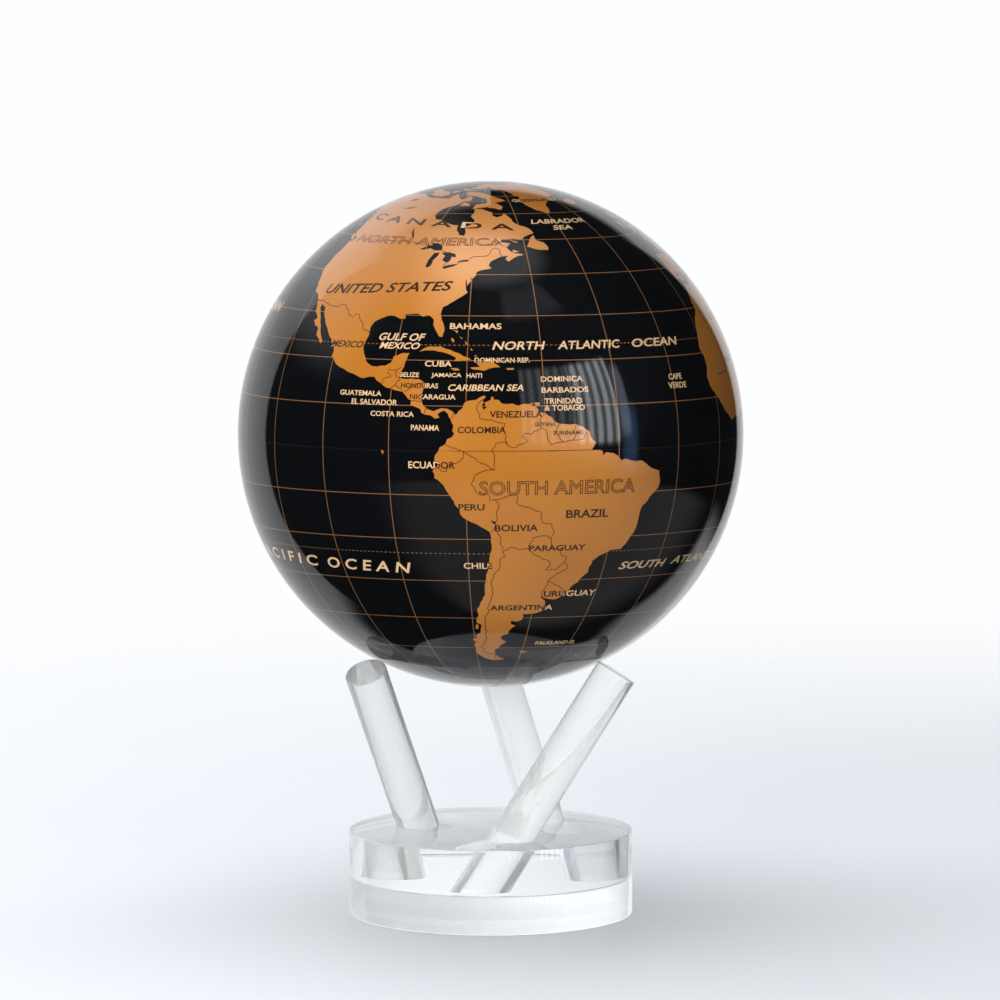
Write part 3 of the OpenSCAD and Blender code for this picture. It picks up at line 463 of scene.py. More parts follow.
borders = [pairs(line) for line in (
    [-122.8, 49, -95.2, 49, -94.6, 48.7, -92, 48.3, -89.6, 48], [-84.5, 46.5, -83.4, 46.1],
    [-82.4, 43, -83.1, 42.2], [-79.1, 43.2, -78.9, 42.9],
    [-76.3, 44.2, -74.7, 45, -71.5, 45, -70.4, 46.2, -69.2, 47.4, -67.8, 47.1, -67.8, 45.8, -67, 44.9],
    [-141, 69.6, -141, 60.3, -139, 60, -135.4, 59.7, -133.8, 58.6, -131.8, 56.6, -130, 55.9, -130.2, 55],
    [-117.1, 32.5, -114.8, 32.6, -111.1, 31.4, -108.2, 31.4, -108.2, 31.8, -106.5, 31.8, -104.9, 30.6,
     -104.4, 29.6, -103.1, 29, -102.4, 29.8, -101.4, 29.8, -100.3, 28.3, -99.4, 27.2, -99.1, 26.4,
     -97.2, 25.9],
    [-92.2, 14.6, -92, 15.6, -91.4, 16.1, -90.4, 16.1, -91.2, 17.2, -91, 17.8, -89.2, 17.8, -88.4, 18.4],
    [-89.2, 17.8, -89.2, 15.9], [-88.3, 15.7, -89.3, 14.5, -90.1, 13.8],
    [-89.3, 14.4, -88.4, 13.9, -87.8, 13.4], [-87.3, 13, -86.7, 13.3, -86, 14, -85, 14.6, -83.2, 15],
    [-85.7, 11.1, -84.6, 11, -83.7, 10.9], [-82.6, 9.6, -82.9, 8.9, -82.9, 8.3],
    [-77.3, 8.6, -77.4, 7.9, -77.8, 7.3],
    [-71.4, 11.8, -72.4, 11, -73, 9.3, -72.4, 8.3, -72.4, 7.4, -70.8, 7, -67.6, 6.2, -67.8, 4.4, -67.4, 3.4,
     -67.6, 2.8, -67, 1.2],
    [-60, 8.3, -61, 7, -60.7, 5.2, -61.4, 4.6, -62.8, 3.7, -64, 4, -64.4, 3.2, -63.4, 2.3, -65.6, 0.8,
     -66.3, 0.8, -67, 1.2, -67.6, 2, -69.4, 1.7, -69.4, 1, -70, 0.6, -69.6, -0.8, -69.5, -4.2, -70.3, -3.8,
     -72.6, -2.4, -73.8, -1.3, -75.4, -0.1, -76.4, 0.3, -77.6, 0.7, -78.8, 1.3],
    [-60.7, 5.2, -59.9, 4.6, -59.6, 2.6, -58.9, 1.3, -57.2, 1.9, -56.4, 1.9, -54.6, 2.3, -52.6, 2.4,
     -51.7, 4], [-57.2, 5.9, -58, 4.1, -57.4, 3.2, -56.5, 1.9],
    [-54, 5.7, -54.4, 4.2, -54.1, 3, -54.6, 2.3],
    [-75.4, -0.1, -75.5, -1.5, -76.6, -2.6, -78.3, -3.4, -78.6, -4.6, -79.6, -4.5, -80.3, -3.6],
    [-69.5, -4.2, -70.8, -4.2, -73, -5.2, -74, -7.4, -73, -9.2, -72.4, -9.8, -70.6, -9.6, -70.6, -11,
     -69.5, -10.9, -68.7, -12.5, -69.2, -14, -69, -15.3, -69.4, -16.6, -69.6, -17.6, -70.4, -18.3],
    [-69.5, -10.9, -68.2, -10.7, -66.4, -9.9, -65.3, -9.8, -65.4, -11.6, -63.4, -12.6, -61.6, -13.5,
     -60.4, -13.9, -60.2, -16.2, -58.3, -16.5, -57.6, -18.1, -58.2, -19.9, -58, -22.1, -55.8, -22.3,
     -55.4, -24, -54.4, -24.1, -54.6, -25.6, -53.7, -26.3, -53.8, -27.2, -55.8, -28.4, -57.6, -30.2,
     -58.2, -32.4, -58.4, -34],
    [-69.5, -17.6, -68.4, -19.4, -68.4, -21, -67.8, -22.8, -66.3, -21.8, -64.6, -22.4, -62.7, -22.2,
     -61.8, -19.7, -59, -19.3, -58.2, -19.9],
    [-62.7, -22.2, -61, -23.8, -58.6, -24.9, -57.6, -25.6, -58.6, -27.3, -56.2, -27.3, -54.6, -25.6],
    [-57.6, -30.2, -56, -31, -54.6, -31.6, -53.4, -32.7, -53.5, -33.8],
    [-67.8, -22.8, -67.2, -24, -68.4, -24.5, -68.5, -27, -69.7, -28.4, -70.2, -31, -69.9, -33.4,
     -70.4, -35.2, -71.1, -37, -71, -38.6, -71.8, -40, -71.8, -42.6, -71.7, -44.8, -71.4, -46.4,
     -72.4, -48.4, -73.2, -49.4, -72.4, -50.8, -71.9, -52, -68.4, -52.3], [-68.6, -52.8, -68.6, -54.9],
    [-2, 43.3, 0.7, 42.8, 3.2, 42.4], [2.5, 51, 6, 49.5, 8.2, 49, 7.6, 47.6, 6.9, 46, 7.5, 43.8],
    [7.6, 47.6, 10.4, 47.4, 13, 47.6, 12.2, 50.2, 14.8, 51, 14.3, 53.9], [7.4, 46, 10.4, 46.8, 13.6, 46.4],
    [19.6, 54.4, 23.8, 54, 24, 50.6, 22.6, 49.2, 18.4, 49.6, 14.8, 51], [23.8, 54, 28, 56, 27.6, 59.2],
    [24, 50.6, 30.6, 51.4, 34.4, 51.8, 40, 49.6, 38.2, 47.2], [30, 60.4, 31.4, 62.8, 29, 68.8, 30.6, 69.6],
    [12.4, 60.6, 12.2, 63, 16, 68, 20.4, 69.1, 23.6, 66], [26, 41.8, 28, 42],
    [44.8, 39.8, 44.4, 37.2, 42.4, 37.2, 36.2, 36.4], [44.4, 37.2, 46, 34, 48.4, 30.2],
    [61, 36, 60.6, 34, 61.8, 31, 61.7, 25.4],
    [70.4, 48, 61.4, 54, 71, 54.2, 77, 54, 87.2, 49.2, 98, 50, 108, 49.4, 117, 49.6, 120, 53, 127, 50,
     131, 47.6, 131, 43],
    [87.2, 49.2, 80, 45, 80.2, 42, 74, 39.6, 74.8, 37, 79, 32.6, 82, 30, 88.8, 27.6, 97.4, 28, 98.6, 24.4,
     101.8, 21.2, 106, 22.8, 108, 21.6], [87.2, 49.2, 96, 42.8, 105, 41.8, 112, 43.6, 117, 46.6, 120, 53],
    [68.4, 23.8, 71, 27.8, 74.4, 31.4, 75, 34.6, 78, 35.4],
    [-5.6, 35.4, -1.8, 34.8, -1.4, 32.2, -8.6, 28.6, -8.6, 27.4, -4.8, 25, 3.2, 19, 7.4, 20.8, 12, 23.4,
     15, 23, 24, 19.6, 24, 22, 31.4, 22, 37, 22], [9.4, 30.2, 12, 23.4], [25, 31.6, 25, 22],
    [-12, 15, -5.4, 15.4, -6.4, 25], [3.2, 19, 4.2, 16.8, 3.6, 12, 13.6, 13.4, 15, 23],
    [22, 19.8, 22, 13, 27.4, 9.6, 34, 9.4, 36.4, 14.4, 38.6, 18],
    [27.4, 9.6, 24, 5, 18.6, 4, 16, 2, 11.2, 2.2], [41, -1.6, 41, 3.8, 35.8, 4.6, 34, 9.4],
    [29.6, 4.4, 29.6, -1.4, 29.4, -4.4, 31, -8.4, 28.4, -8.6, 29, -13, 24, -11, 22, -13, 17, -8,
     12.4, -5.8], [22, -13, 22, -17, 25, -17.8, 31, -17, 33, -14, 40.4, -10.6],
    [12, -17.2, 20, -18, 21, -22, 20, -28.6, 16.6, -28.6], [25, -17.8, 29.4, -22.2, 32, -24.4, 31.8, -26.8],
    [34, -1, 39.2, -4.6], [141, -2.6, 141, -9.2])]


# modelling helpers, each doing what is done by hand
def only(piece):
    bpy.ops.object.select_all(action="DESELECT")
    piece.select_set(True)
    bpy.context.view_layer.objects.active = piece
    return piece


def applied(piece, kind, **settings):
    only(piece)
    change = piece.modifiers.new(kind.lower(), kind)
    for key, value in settings.items():
        setattr(change, key, value)
    bpy.ops.object.modifier_apply(modifier=change.name)
    return piece


def settle(piece):
    only(piece)
    bpy.ops.object.transform_apply(location=True, rotation=True, scale=True)
    return piece


def cutLevel(piece, height, above, fill=True):
    only(piece)
    bpy.ops.object.mode_set(mode="EDIT")
    bpy.ops.mesh.select_all(action="SELECT")
    bpy.ops.mesh.bisect(plane_co=(0, 0, height), plane_no=(0, 0, 1), use_fill=fill,
                        clear_inner=above, clear_outer=not above)
    bpy.ops.object.mode_set(mode="OBJECT")
    return piece


def smooth(piece, angle=30):
    only(piece)
    bpy.ops.object.shade_smooth_by_angle(angle=math.radians(angle))
    return piece


def handOver(piece, name, body, slot, *stands):
    piece.name = piece.data.name = name
    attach(piece, body)
    (printed if slot == "printed_globe" else surround).objects.link(piece)
    if stands:
        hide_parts(*stands)
    return piece


def carve(piece, tool):
    applied(piece, "BOOLEAN", object=tool, operation="DIFFERENCE", solver="EXACT")
    bpy.data.objects.remove(tool)
    return piece


def facesAtLevel(piece, height, index):
    for face in piece.data.polygons:
        if abs(face.normal.z) > 0.99 and abs(face.center.z - height) < 0.05 * mm:
            face.material_index = index


# clear plastic: lamps and soft light pass it, while the eye sees it bend and reflect
clearSet = {"tint": (0.985, 0.992, 1.0), "ior": 1.47, "wallToLiquid": 1.03}


def clearPaint(name, ior=clearSet["ior"], tint=clearSet["tint"], wave=0.0, milk=0.0, inBall=False):
    paint = Paint(name)
    ray = paint.node("ShaderNodeLightPath").outputs
    past = ["Is Shadow Ray", "Is Diffuse Ray"] + ["Is Glossy Ray"] * inBall
    polish = paint.noise(60.0, 3.0) * 0.012 + milk * 0.06
    inputs = {"Base Color": (*tint, 1), "Roughness": polish, "IOR": ior, "Transmission Weight": 1.0 - milk}
    if wave:
        inputs["Normal"] = paint.bump(paint.noise(120.0, 1.0, (1, 1, 0.35)), wave)
    glass = paint.node("ShaderNodeBsdfPrincipled", None, inputs).outputs[0]
    let = paint.node("ShaderNodeBsdfTransparent", None, {"Color": (*tint, 1)}).outputs[0]
    factor = Val(paint, ray[past[0]])
    for kind in past[1:]:
        factor = factor.math("MAXIMUM", ray[kind])
    mixed = paint.node("ShaderNodeMixShader", None, {0: factor, 1: glass, 2: let}).outputs[0]
    paint.tree.links.new(mixed, paint.output.inputs["Surface"])
    return paint.material


def jointPaint():
    # the cemented joint hardly shows: what is on both sides is one plastic
    paint = Paint("cementedJoint")
    haze = paint.noise(200.0, 2.0) * 0.02
    return paint.finish(Base_Color=(0.9, 0.94, 1, 1), Roughness=0.3, Alpha=haze)


ballClear = clearPaint("castBallPlastic", inBall=True)
ballInside = clearPaint("wallToLiquid", ior=clearSet["wallToLiquid"], inBall=True)
discClear = clearPaint("castDiscPlastic", tint=(0.96, 0.975, 0.99), wave=0.00002, milk=0.2)
rodClear = clearPaint("castRodPlastic", tint=(0.965, 0.98, 0.99), wave=0.00004, milk=0.24)
joint = jointPaint()

discSet = {"sides": 192, "edge": 0.35 * mm}


def baseDisc(name, low, high):
    bpy.ops.mesh.primitive_cylinder_add(
        vertices=discSet["sides"], radius=baseRadius, depth=high - low, location=(0, 0, (low + high) / 2))
    disc = settle(bpy.context.object)
    for material in (discClear, joint):
        disc.data.materials.append(material)
    return applied(disc, "BEVEL", width=discSet["edge"], segments=3, limit_method="ANGLE", angle_limit=1.0)


# the rods lean past one another: each foot is turned back from its tip
rodSet = {
    "radius": 4.75 * mm, "sides": 96, "edge": 0.4 * mm, "footRing": 17.2 * mm, "tipRing": 32.2 * mm,
    "rise": 37.5 * mm, "twist": -45, "glueGap": 0.06 * mm, "spare": 40 * mm,
    "tips": {"Back": 90, "Left": 210, "Right": 330},
}


def ringPoint(radius, turn, height):
    return Vector((radius * math.cos(math.radians(turn)), radius * math.sin(math.radians(turn)), height))


def rodBar(turn, radius, extra):
    foot = ringPoint(rodSet["footRing"], turn + rodSet["twist"], baseTop)
    tip = ringPoint(rodSet["tipRing"], turn, baseTop + rodSet["rise"])
    lean = (tip - foot).normalized()
    end = tip + lean * extra
    start = foot - lean * rodSet["spare"]
    bpy.ops.mesh.primitive_cylinder_add(
        vertices=rodSet["sides"], radius=radius, depth=(end - start).length,
        location=(end + start) / 2, rotation=lean.to_track_quat("Z", "Y").to_euler())
    return settle(bpy.context.object)


lowerDisc = baseDisc("baseDiscLower", 0, seamHeight)
upperDisc = baseDisc("baseDiscUpper", seamHeight, baseTop)
for side, turn in rodSet["tips"].items():
    carve(upperDisc, rodBar(turn, rodSet["radius"] + rodSet["glueGap"], rodSet["spare"]))
for disc in (lowerDisc, upperDisc):
    facesAtLevel(disc, seamHeight, 1)
    smooth(disc)
handOver(lowerDisc, "baseDiscLower", "stand", "clear_acrylic", "base_lower_disc")
litFoot.objects.link(lowerDisc)
handOver(upperDisc, "baseDiscUpper", "stand", "clear_acrylic", "base_upper_disc")
print("base discs made")

for side, turn in rodSet["tips"].items():
    rod = rodBar(turn, rodSet["radius"], rodSet["edge"])
    for material in (rodClear, joint):
        rod.data.materials.append(material)
    applied(rod, "BEVEL", width=rodSet["edge"], segments=3, limit_method="ANGLE", angle_limit=1.0)
    cutLevel(rod, seamHeight, True)
    facesAtLevel(rod, seamHeight, 1)
    smooth(rod)
    handOver(rod, "supportRod" + side, "stand", "clear_rod", "support_rod_" + side.lower())
print("support rods made")


# the clear ball and the printed globe: halves of round shells
def halfShell(name, radius, wall, materials, above, edge=0.0):
    bpy.ops.mesh.primitive_uv_sphere_add(segments=256, ring_count=128, radius=radius, location=ballCentre)
    shell = settle(bpy.context.object)
    for material in materials:
        shell.data.materials.append(material)
    cutLevel(shell, ballCentre.z, above, fill=False)
    inner, rim = (1, 2) if len(materials) > 2 else (0, 0)
    applied(shell, "SOLIDIFY", thickness=wall, offset=-1, use_even_offset=True,
            material_offset=inner, material_offset_rim=rim)
    if edge:
        applied(shell, "BEVEL", width=edge, segments=2, limit_method="ANGLE", angle_limit=1.0)
    return smooth(shell, 40)


ballSet = {"wall": 2.4 * mm, "plugHole": 2.05 * mm, "plugCut": 12 * mm}
shellUpper = halfShell("shellUpper", ballRadius, ballSet["wall"], (ballClear, ballInside, joint), True)
shellLower = halfShell("shellLower", ballRadius, ballSet["wall"], (ballClear, ballInside, joint), False)
bpy.ops.mesh.primitive_cylinder_add(
    vertices=64, radius=ballSet["plugHole"], depth=ballSet["plugCut"], location=(0, 0, ballLow[2]))
carve(shellLower, settle(bpy.context.object))
smooth(shellLower, 40)
handOver(shellUpper, "clearShellUpper", "ball", "clear_ball", "shell_upper")
handOver(shellLower, "clearShellLower", "ball", "clear_ball", "shell_lower")
print("clear ball made")


# the printed inner globe
def seaPaint():
    paint = Paint("seaInk")
    tone = paint.noise(40.0, 4.0)
    colour = paint.blendColour(tone, (0.0022, 0.0026, 0.0034, 1), (0.0036, 0.0042, 0.0055, 1))
    return paint.finish(Base_Color=colour, Roughness=paint.noise(900.0, 2.0) * 0.1 + 0.4, IOR=1.12)


def landPaint():
    # bronze ink: fine metal flakes over a warm ground, a little uneven in tone
    paint = Paint("bronzeInk")
    flakes = paint.noise(2600.0, 2.0)
    cloud = paint.noise(28.0, 2.0)
    tones = [(0.3, (0.54, 0.18, 0.014)), (0.5, (0.61, 0.22, 0.020)), (0.72, (0.68, 0.26, 0.030))]
    colour = paint.ramp(flakes * 0.3 + cloud * 0.7, tones)
    rough = flakes * 0.12 + 0.26
    grain = paint.bump(flakes, 0.00003, 0.5)
    return paint.finish(Base_Color=colour, Roughness=rough, Metallic=0.15, IOR=1.9, Normal=grain)


def linePaint(name, low, high, metallic=0.4):
    paint = Paint(name)
    colour = paint.blendColour(paint.noise(1500.0, 2.0), (*low, 1), (*high, 1))
    rough = paint.noise(700.0) * 0.15 + 0.4
    return paint.finish(Base_Color=colour, Roughness=rough, Metallic=metallic, IOR=1.2)


globeSet = {
    "wall": 1.6 * mm, "equatorGroove": 0.12 * mm,
    "middle": -70.3, "sideStretch": 0.2, "poleStretch": math.radians(12.5),
    "landLift": 0.06 * mm, "gridLift": 0.025 * mm, "borderLift": 0.09 * mm, "labelLift": 0.11 * mm,
    "landThick": 0.12 * mm, "lineThick": 0.03 * mm, "splitGap": 0.06 * mm,
    "gridWidth": 0.17 * mm, "borderWidth": 0.17 * mm, "tropics": (-23.4, 23.4, 66.6, -66.6),
    "roughCoast": 0.16, "roughPerPoint": 0.012, "coastStep": 0.9, "fill": 2.0,
    "roughBorder": 0.22, "borderStep": 0.8,
}
seaInk = seaPaint()
bronzeInk = landPaint()
for name, above, stands in (("seaShellNorth", True, "globe_north"), ("seaShellSouth", False, "globe_south")):
    half = halfShell(name, globeRadius, globeSet["wall"], (seaInk,), above, globeSet["equatorGroove"])
    handOver(half, name, "inner_globe", "printed_globe", stands)
print("sea shells made")


def spot(east, north, lift=0.0):
    # where a place on the map lies on the globe, in degrees east and north
    turn = math.radians(east - globeSet["middle"])
    turn += globeSet["sideStretch"] * math.sin(turn)
    rise = math.radians(north)
    rise += globeSet["poleStretch"] * math.sin(rise) ** 3 * math.cos(rise)
    return globePoint(turn, rise, lift)


def globePoint(turn, rise, lift=0.0):
    radius = globeRadius + lift
    return ballCentre + Vector((math.cos(rise) * math.sin(turn), -math.cos(rise) * math.cos(turn),
                                math.sin(rise))) * radius


def evenly(line, step, closed=False, rough=0.0, chance=None):
    # adds points along a line of degrees, each a little off it
    ends = line[1:] + line[:1] if closed else line[1:]
    made = []
    for (east, north), (nextEast, nextNorth) in zip(line, ends):
        shrink = math.cos(math.radians((north + nextNorth) / 2))
        parts = max(1, round(math.hypot((nextEast - east) * shrink, nextNorth - north) / step))
        for part in range(parts):
            share = part / parts
            drift = [0, 0] if part == 0 or not rough else [chance.uniform(-rough, rough) for _ in range(2)]
            made.append((east + (nextEast - east) * share + drift[0] / max(shrink, 0.2),
                         north + (nextNorth - north) * share + drift[1]))
    return made if closed else made + [line[-1]]


def chartPoint(east, north, centre):
    # equal-area chart about a centre, so that a landmass is cut into triangles flat
    turn, rise, base = math.radians(east - centre[0]), math.radians(north), math.radians(centre[1])
    toward = math.cos(rise) * math.cos(turn)
    scale = math.sqrt(2 / (1 + math.sin(base) * math.sin(rise) + math.cos(base) * toward))
    return (scale * math.cos(rise) * math.sin(turn),
            scale * (math.cos(base) * math.sin(rise) - math.sin(base) * toward))


def offChart(x, y, centre):
    away = math.hypot(x, y)
    if away < 1e-9:
        return centre
    base, arc = math.radians(centre[1]), 2 * math.asin(min(1, away / 2))
    rise = math.asin(math.cos(arc) * math.sin(base) + y * math.sin(arc) * math.cos(base) / away)
    toward = away * math.cos(base) * math.cos(arc) - y * math.sin(base) * math.sin(arc)
    return centre[0] + math.degrees(math.atan2(x * math.sin(arc), toward)), math.degrees(rise)


def landPatch(outline, holes, centre, chance):
    rough = min(globeSet["roughCoast"], globeSet["roughPerPoint"] * len(outline))
    lines = [evenly(outline, globeSet["coastStep"], True, rough, chance)]
    lines += [evenly(hole, globeSet["coastStep"], True, rough / 2, chance) for hole in holes]
    points, rings = [], []
    for line in lines:
        loop = [chartPoint(east, north, centre) for east, north in line]
        if sum(a[0] * b[1] - b[0] * a[1] for a, b in zip(loop, loop[1:] + loop[:1])) < 0:
            loop.reverse()
        rings.append(list(range(len(points), len(points) + len(loop))))
        points += loop
    step = math.radians(globeSet["fill"])
    reach = [max(abs(p[i]) for p in points[:len(rings[0])]) for i in (0, 1)]
    if max(reach) > 1.5 * step:
        across, up = [int(value / step) + 1 for value in reach]
        points += [((i + (j % 2) / 2) * step, j * step * 0.87)
                   for i in range(-across, across + 1) for j in range(-up * 2, up * 2 + 1)
                   if abs(j * 0.87) <= up + 1]
    flat = [Vector(point) for point in points]
    corners, _, faces, _, _, owners = geometry.delaunay_2d_cdt(flat, [], rings, 1, 1e-6, True)
    kept = [face for face, owner in zip(faces, owners) if owner and max(owner) == 0]
    used = sorted({corner for face in kept for corner in face})
    places = {corner: number for number, corner in enumerate(used)}
    made = [spot(*offChart(*corners[corner], centre), globeSet["landLift"]) for corner in used]
    return made, [[places[corner] for corner in face] for face in kept]


def wholePiece(parts, material):
    # one mesh from several lists of corners and faces
    corners, faces = [], []
    for made, loops in parts:
        faces += [[corner + len(corners) for corner in loop] for loop in loops]
        corners += made
    mesh = bpy.data.meshes.new("printed")
    mesh.from_pydata(corners, [], faces)
    mesh.update()
    piece = bpy.data.objects.new("printed", mesh)
    bpy.context.collection.objects.link(piece)
    turned = [face.index for face in mesh.polygons if face.normal.dot(face.center - ballCentre) < 0]
    if turned:
        shape = bmesh.new()
        shape.from_mesh(mesh)
        shape.faces.ensure_lookup_table()
        bmesh.ops.reverse_faces(shape, faces=[shape.faces[index] for index in turned])
        shape.to_mesh(mesh)
        shape.free()
    mesh.materials.append(material)
    return piece


def middleOf(outline):
    easts, norths = zip(*outline)
    return ((max(easts) + min(easts)) / 2, (max(norths) + min(norths)) / 2)


# each landmass with its lakes and the centre of its chart
landmasses = [
    (americas, lakes[:9], (-85, 15)), (eurasia, lakes[9:10], (85, 45)), (africa, lakes[10:], (18, 3)),
    (greenland, [], (-42, 72)), (australia, [], (133, -26)), (antarctica, [], (0, -90))]
landmasses += [(outline, [], middleOf(outline)) for outline in northIslands + warmIslands]
chance = random.Random(7)
patchesOfLand = [landPatch(*row, chance) for row in landmasses]
land = wholePiece(patchesOfLand, bronzeInk)
applied(land, "SOLIDIFY", thickness=globeSet["landThick"], offset=-1)
landTest = BVHTree.FromPolygons(
    [vertex.co for vertex in land.data.vertices], [list(face.vertices) for face in land.data.polygons])


def overLand(point):
    out = (point - ballCentre).normalized()
    hit = landTest.ray_cast(ballCentre + out * (globeRadius + 2 * mm), -out, 4 * mm)
    return hit[0] is not None


only(land)
bpy.ops.object.duplicate()
landSouth = bpy.context.object
cutLevel(land, ballCentre.z + globeSet["splitGap"], True)
cutLevel(landSouth, ballCentre.z - globeSet["splitGap"], False)
for piece, name in ((land, "landNorth"), (landSouth, "landSouth")):
    smooth(piece, 35)
    handOver(piece, name, "inner_globe", "printed_globe")
print("land made,", len(land.data.polygons) + len(landSouth.data.polygons), "faces")


def ribbon(line, width):
    # a thin strip along points of the globe
    corners = []
    for number, point in enumerate(line):
        before, after = line[max(0, number - 1)], line[min(len(line) - 1, number + 1)]
        side = (after - before).cross(point - ballCentre).normalized() * width / 2
        corners += [point + side, point - side]
    faces = [[2 * n, 2 * n + 1, 2 * n + 3, 2 * n + 2] for n in range(len(line) - 1)]
    return corners, faces


def stripPiece(name, lines, width, material):
    piece = wholePiece([ribbon(line, width) for line in lines], material)
    applied(piece, "SOLIDIFY", thickness=globeSet["lineThick"], offset=-1)
    return handOver(piece, name, "inner_globe", "printed_globe")


gridInk = linePaint("copperLine", (0.30, 0.14, 0.055), (0.42, 0.20, 0.085))
lift, width = globeSet["gridLift"], globeSet["gridWidth"]
meridians = [[spot(east, north, lift) for north in range(-80, 81, 2)] for east in range(-180, 180, 15)]
parallels = [[spot(east, north, lift) for east in range(-180, 181, 2)]
             for north in range(-80, 81, 10) if north]
stripPiece("gridLines", meridians + parallels, width, gridInk)
dots = [[spot(east + step, north, lift) for step in (0, 0.5)]
        for north in globeSet["tropics"] for east in range(-180, 180)]
stripPiece("tropicDots", dots, width, gridInk)
brownInk = linePaint("brownLine", (0.10, 0.035, 0.010), (0.16, 0.06, 0.018), 0.1)
chance = random.Random(11)
drawn = [evenly(line, globeSet["borderStep"], False, globeSet["roughBorder"], chance) for line in borders]
borderLines = [[spot(*point, globeSet["borderLift"]) for point in line] for line in drawn]
stripPiece("countryBorders", borderLines, globeSet["borderWidth"], brownInk)
print("grid and borders made")


# place names by style: from and to east, baseline north, cap height in mm, and how far the line drops
labelRows = {
    "italic": [
        ("UNITED STATES", -116, -79.5, 36, 2.5, 2), ("MEXICO", -106.5, -98, 23, 1.5),
        ("GULF OF", -94.5, -84, 25, 1.7), ("MEXICO", -94, -85, 23, 1.5),
        ("CARIBBEAN SEA", -78.5, -64, 13.5, 1.4), ("LABRADOR", -55, -30, 59.5, 1.7),
        ("SEA", -47.5, -39.5, 57, 1.6), ("NORTH", -70, -59, 23, 1.9), ("ATLANTIC", -56.5, -42, 23, 1.9),
        ("OCEAN", -39, -25, 23, 1.9), ("P A C I F I C", -146, -112.5, -27.5, 2.7, -1.5),
        ("O C E A N", -109.5, -87.5, -29, 2.7, -0.5), ("SOUTH", -41, -27, -29, 1.9),
        ("ATLANTIC", -25, -1, -28.5, 1.9), ("CHINA", 92, 115, 32, 2.5), ("INDIA", 74, 84, 21, 2),
        ("INDIAN", 62, 82, -18, 2.4), ("OCEAN", 68, 88, -24, 2.4), ("NORTH", 160, 178, 30, 2.4),
        ("PACIFIC OCEAN", 182, 225, 30, 2.4),
    ],
    "plain": [
        ("BAHAMAS", -79, -68, 28, 1.4), ("CUBA", -83.5, -78, 19, 1.3), ("BELIZE", -88.5, -84.5, 16.5, 1),
        ("JAMAICA", -82, -76, 16.5, 1), ("HAITI", -75, -72, 16.5, 1),
        ("DOMINICAN REP.", -73.5, -62.5, 20, 1.1), ("HONDURAS", -88, -80.5, 14, 1.1),
        ("GUATEMALA", -101.5, -92, 12, 1.1), ("EL SALVADOR", -98.5, -88.5, 10, 1.2),
        ("NICARAGUA", -86, -77, 11.5, 1.1), ("COSTA RICA", -94, -85, 7.5, 1.1),
        ("PANAMA", -85.5, -80, 4.5, 1.2), ("COLOMBIA", -76.5, -67.5, 4, 1.4),
        ("VENEZUELA", -70.5, -60.5, 7.5, 1.4), ("DOMINICA", -60.5, -52, 15.5, 1.2),
        ("BARBADOS", -60.5, -51, 13, 1.2), ("TRINIDAD", -60, -52.5, 10.5, 1.2),
        ("& TOBAGO", -60, -52, 9, 1.2), ("GUYANA", -62, -58, 5.5, 0.9),
        ("SURINAME", -58.5, -52.5, 3.5, 0.9), ("ECUADOR", -86, -77, -4, 1.5),
        ("PERU", -76.5, -71.5, -13.5, 1.4), ("BRAZIL", -55.5, -46.5, -15.5, 1.8),
        ("BOLIVIA", -69.5, -61, -18.5, 1.5), ("PARAGUAY", -62.5, -50.5, -23.5, 1.4),
        ("CHILE", -76, -70, -28, 1.5), ("ARGENTINA", -70.5, -55, -40, 1.5), ("URUGUAY", -58, -45, -36, 1.6),
        ("CAPE", -31, -27, 15, 1.3), ("VERDE", -31.5, -26, 13, 1.3),
        ("C A N A D A", -128, -62, 60, 2.4, -3), ("GREENLAND", -58, -28, 70, 1.5),
        ("SPAIN", -7, 0, 39.5, 1.4), ("FRANCE", -1, 6, 46, 1.4), ("ALGERIA", -3, 7, 27.5, 1.7),
        ("MALI", -4, 2, 17.5, 1.5), ("EGYPT", 25.5, 33, 26, 1.5), ("SUDAN", 25, 34, 15, 1.6),
        ("CONGO", 18, 28, -2, 1.6), ("SOUTH AFRICA", 17.5, 30, -31, 1.4),
        ("MADAGASCAR", 51.5, 64, -19, 1.3), ("SAUDI ARABIA", 39, 52, 24, 1.4),
        ("R U S S I A", 45, 130, 60, 2.8), ("JAPAN", 142, 152, 35, 1.6),
        ("NEW ZEALAND", 152, 170, -45, 1.4), ("HAWAII", -154, -145, 20, 1.3),
        ("FALKLAND IS.", -56.5, -43, -52.5, 1.3),
    ],
    "hollow": [
        ("SOUTH AMERICA", -72.5, -41, -10, 3.1), ("NORTH AMERICA", -120, -66, 51.5, 2.6),
        ("AFRICA", 8, 36, 7, 3.1), ("EUROPE", 8, 40, 50, 2.6), ("ASIA", 62, 100, 44, 3.2),
        ("AUSTRALIA", 118, 148, -26, 2.6), ("ANTARCTICA", 30, 110, -81.5, 1.6),
    ],
}
labelSet = {"slant": 0.25, "bold": 0.018, "hollowLine": 0.022, "hollowRise": 0.5, "thick": 0.03 * mm}


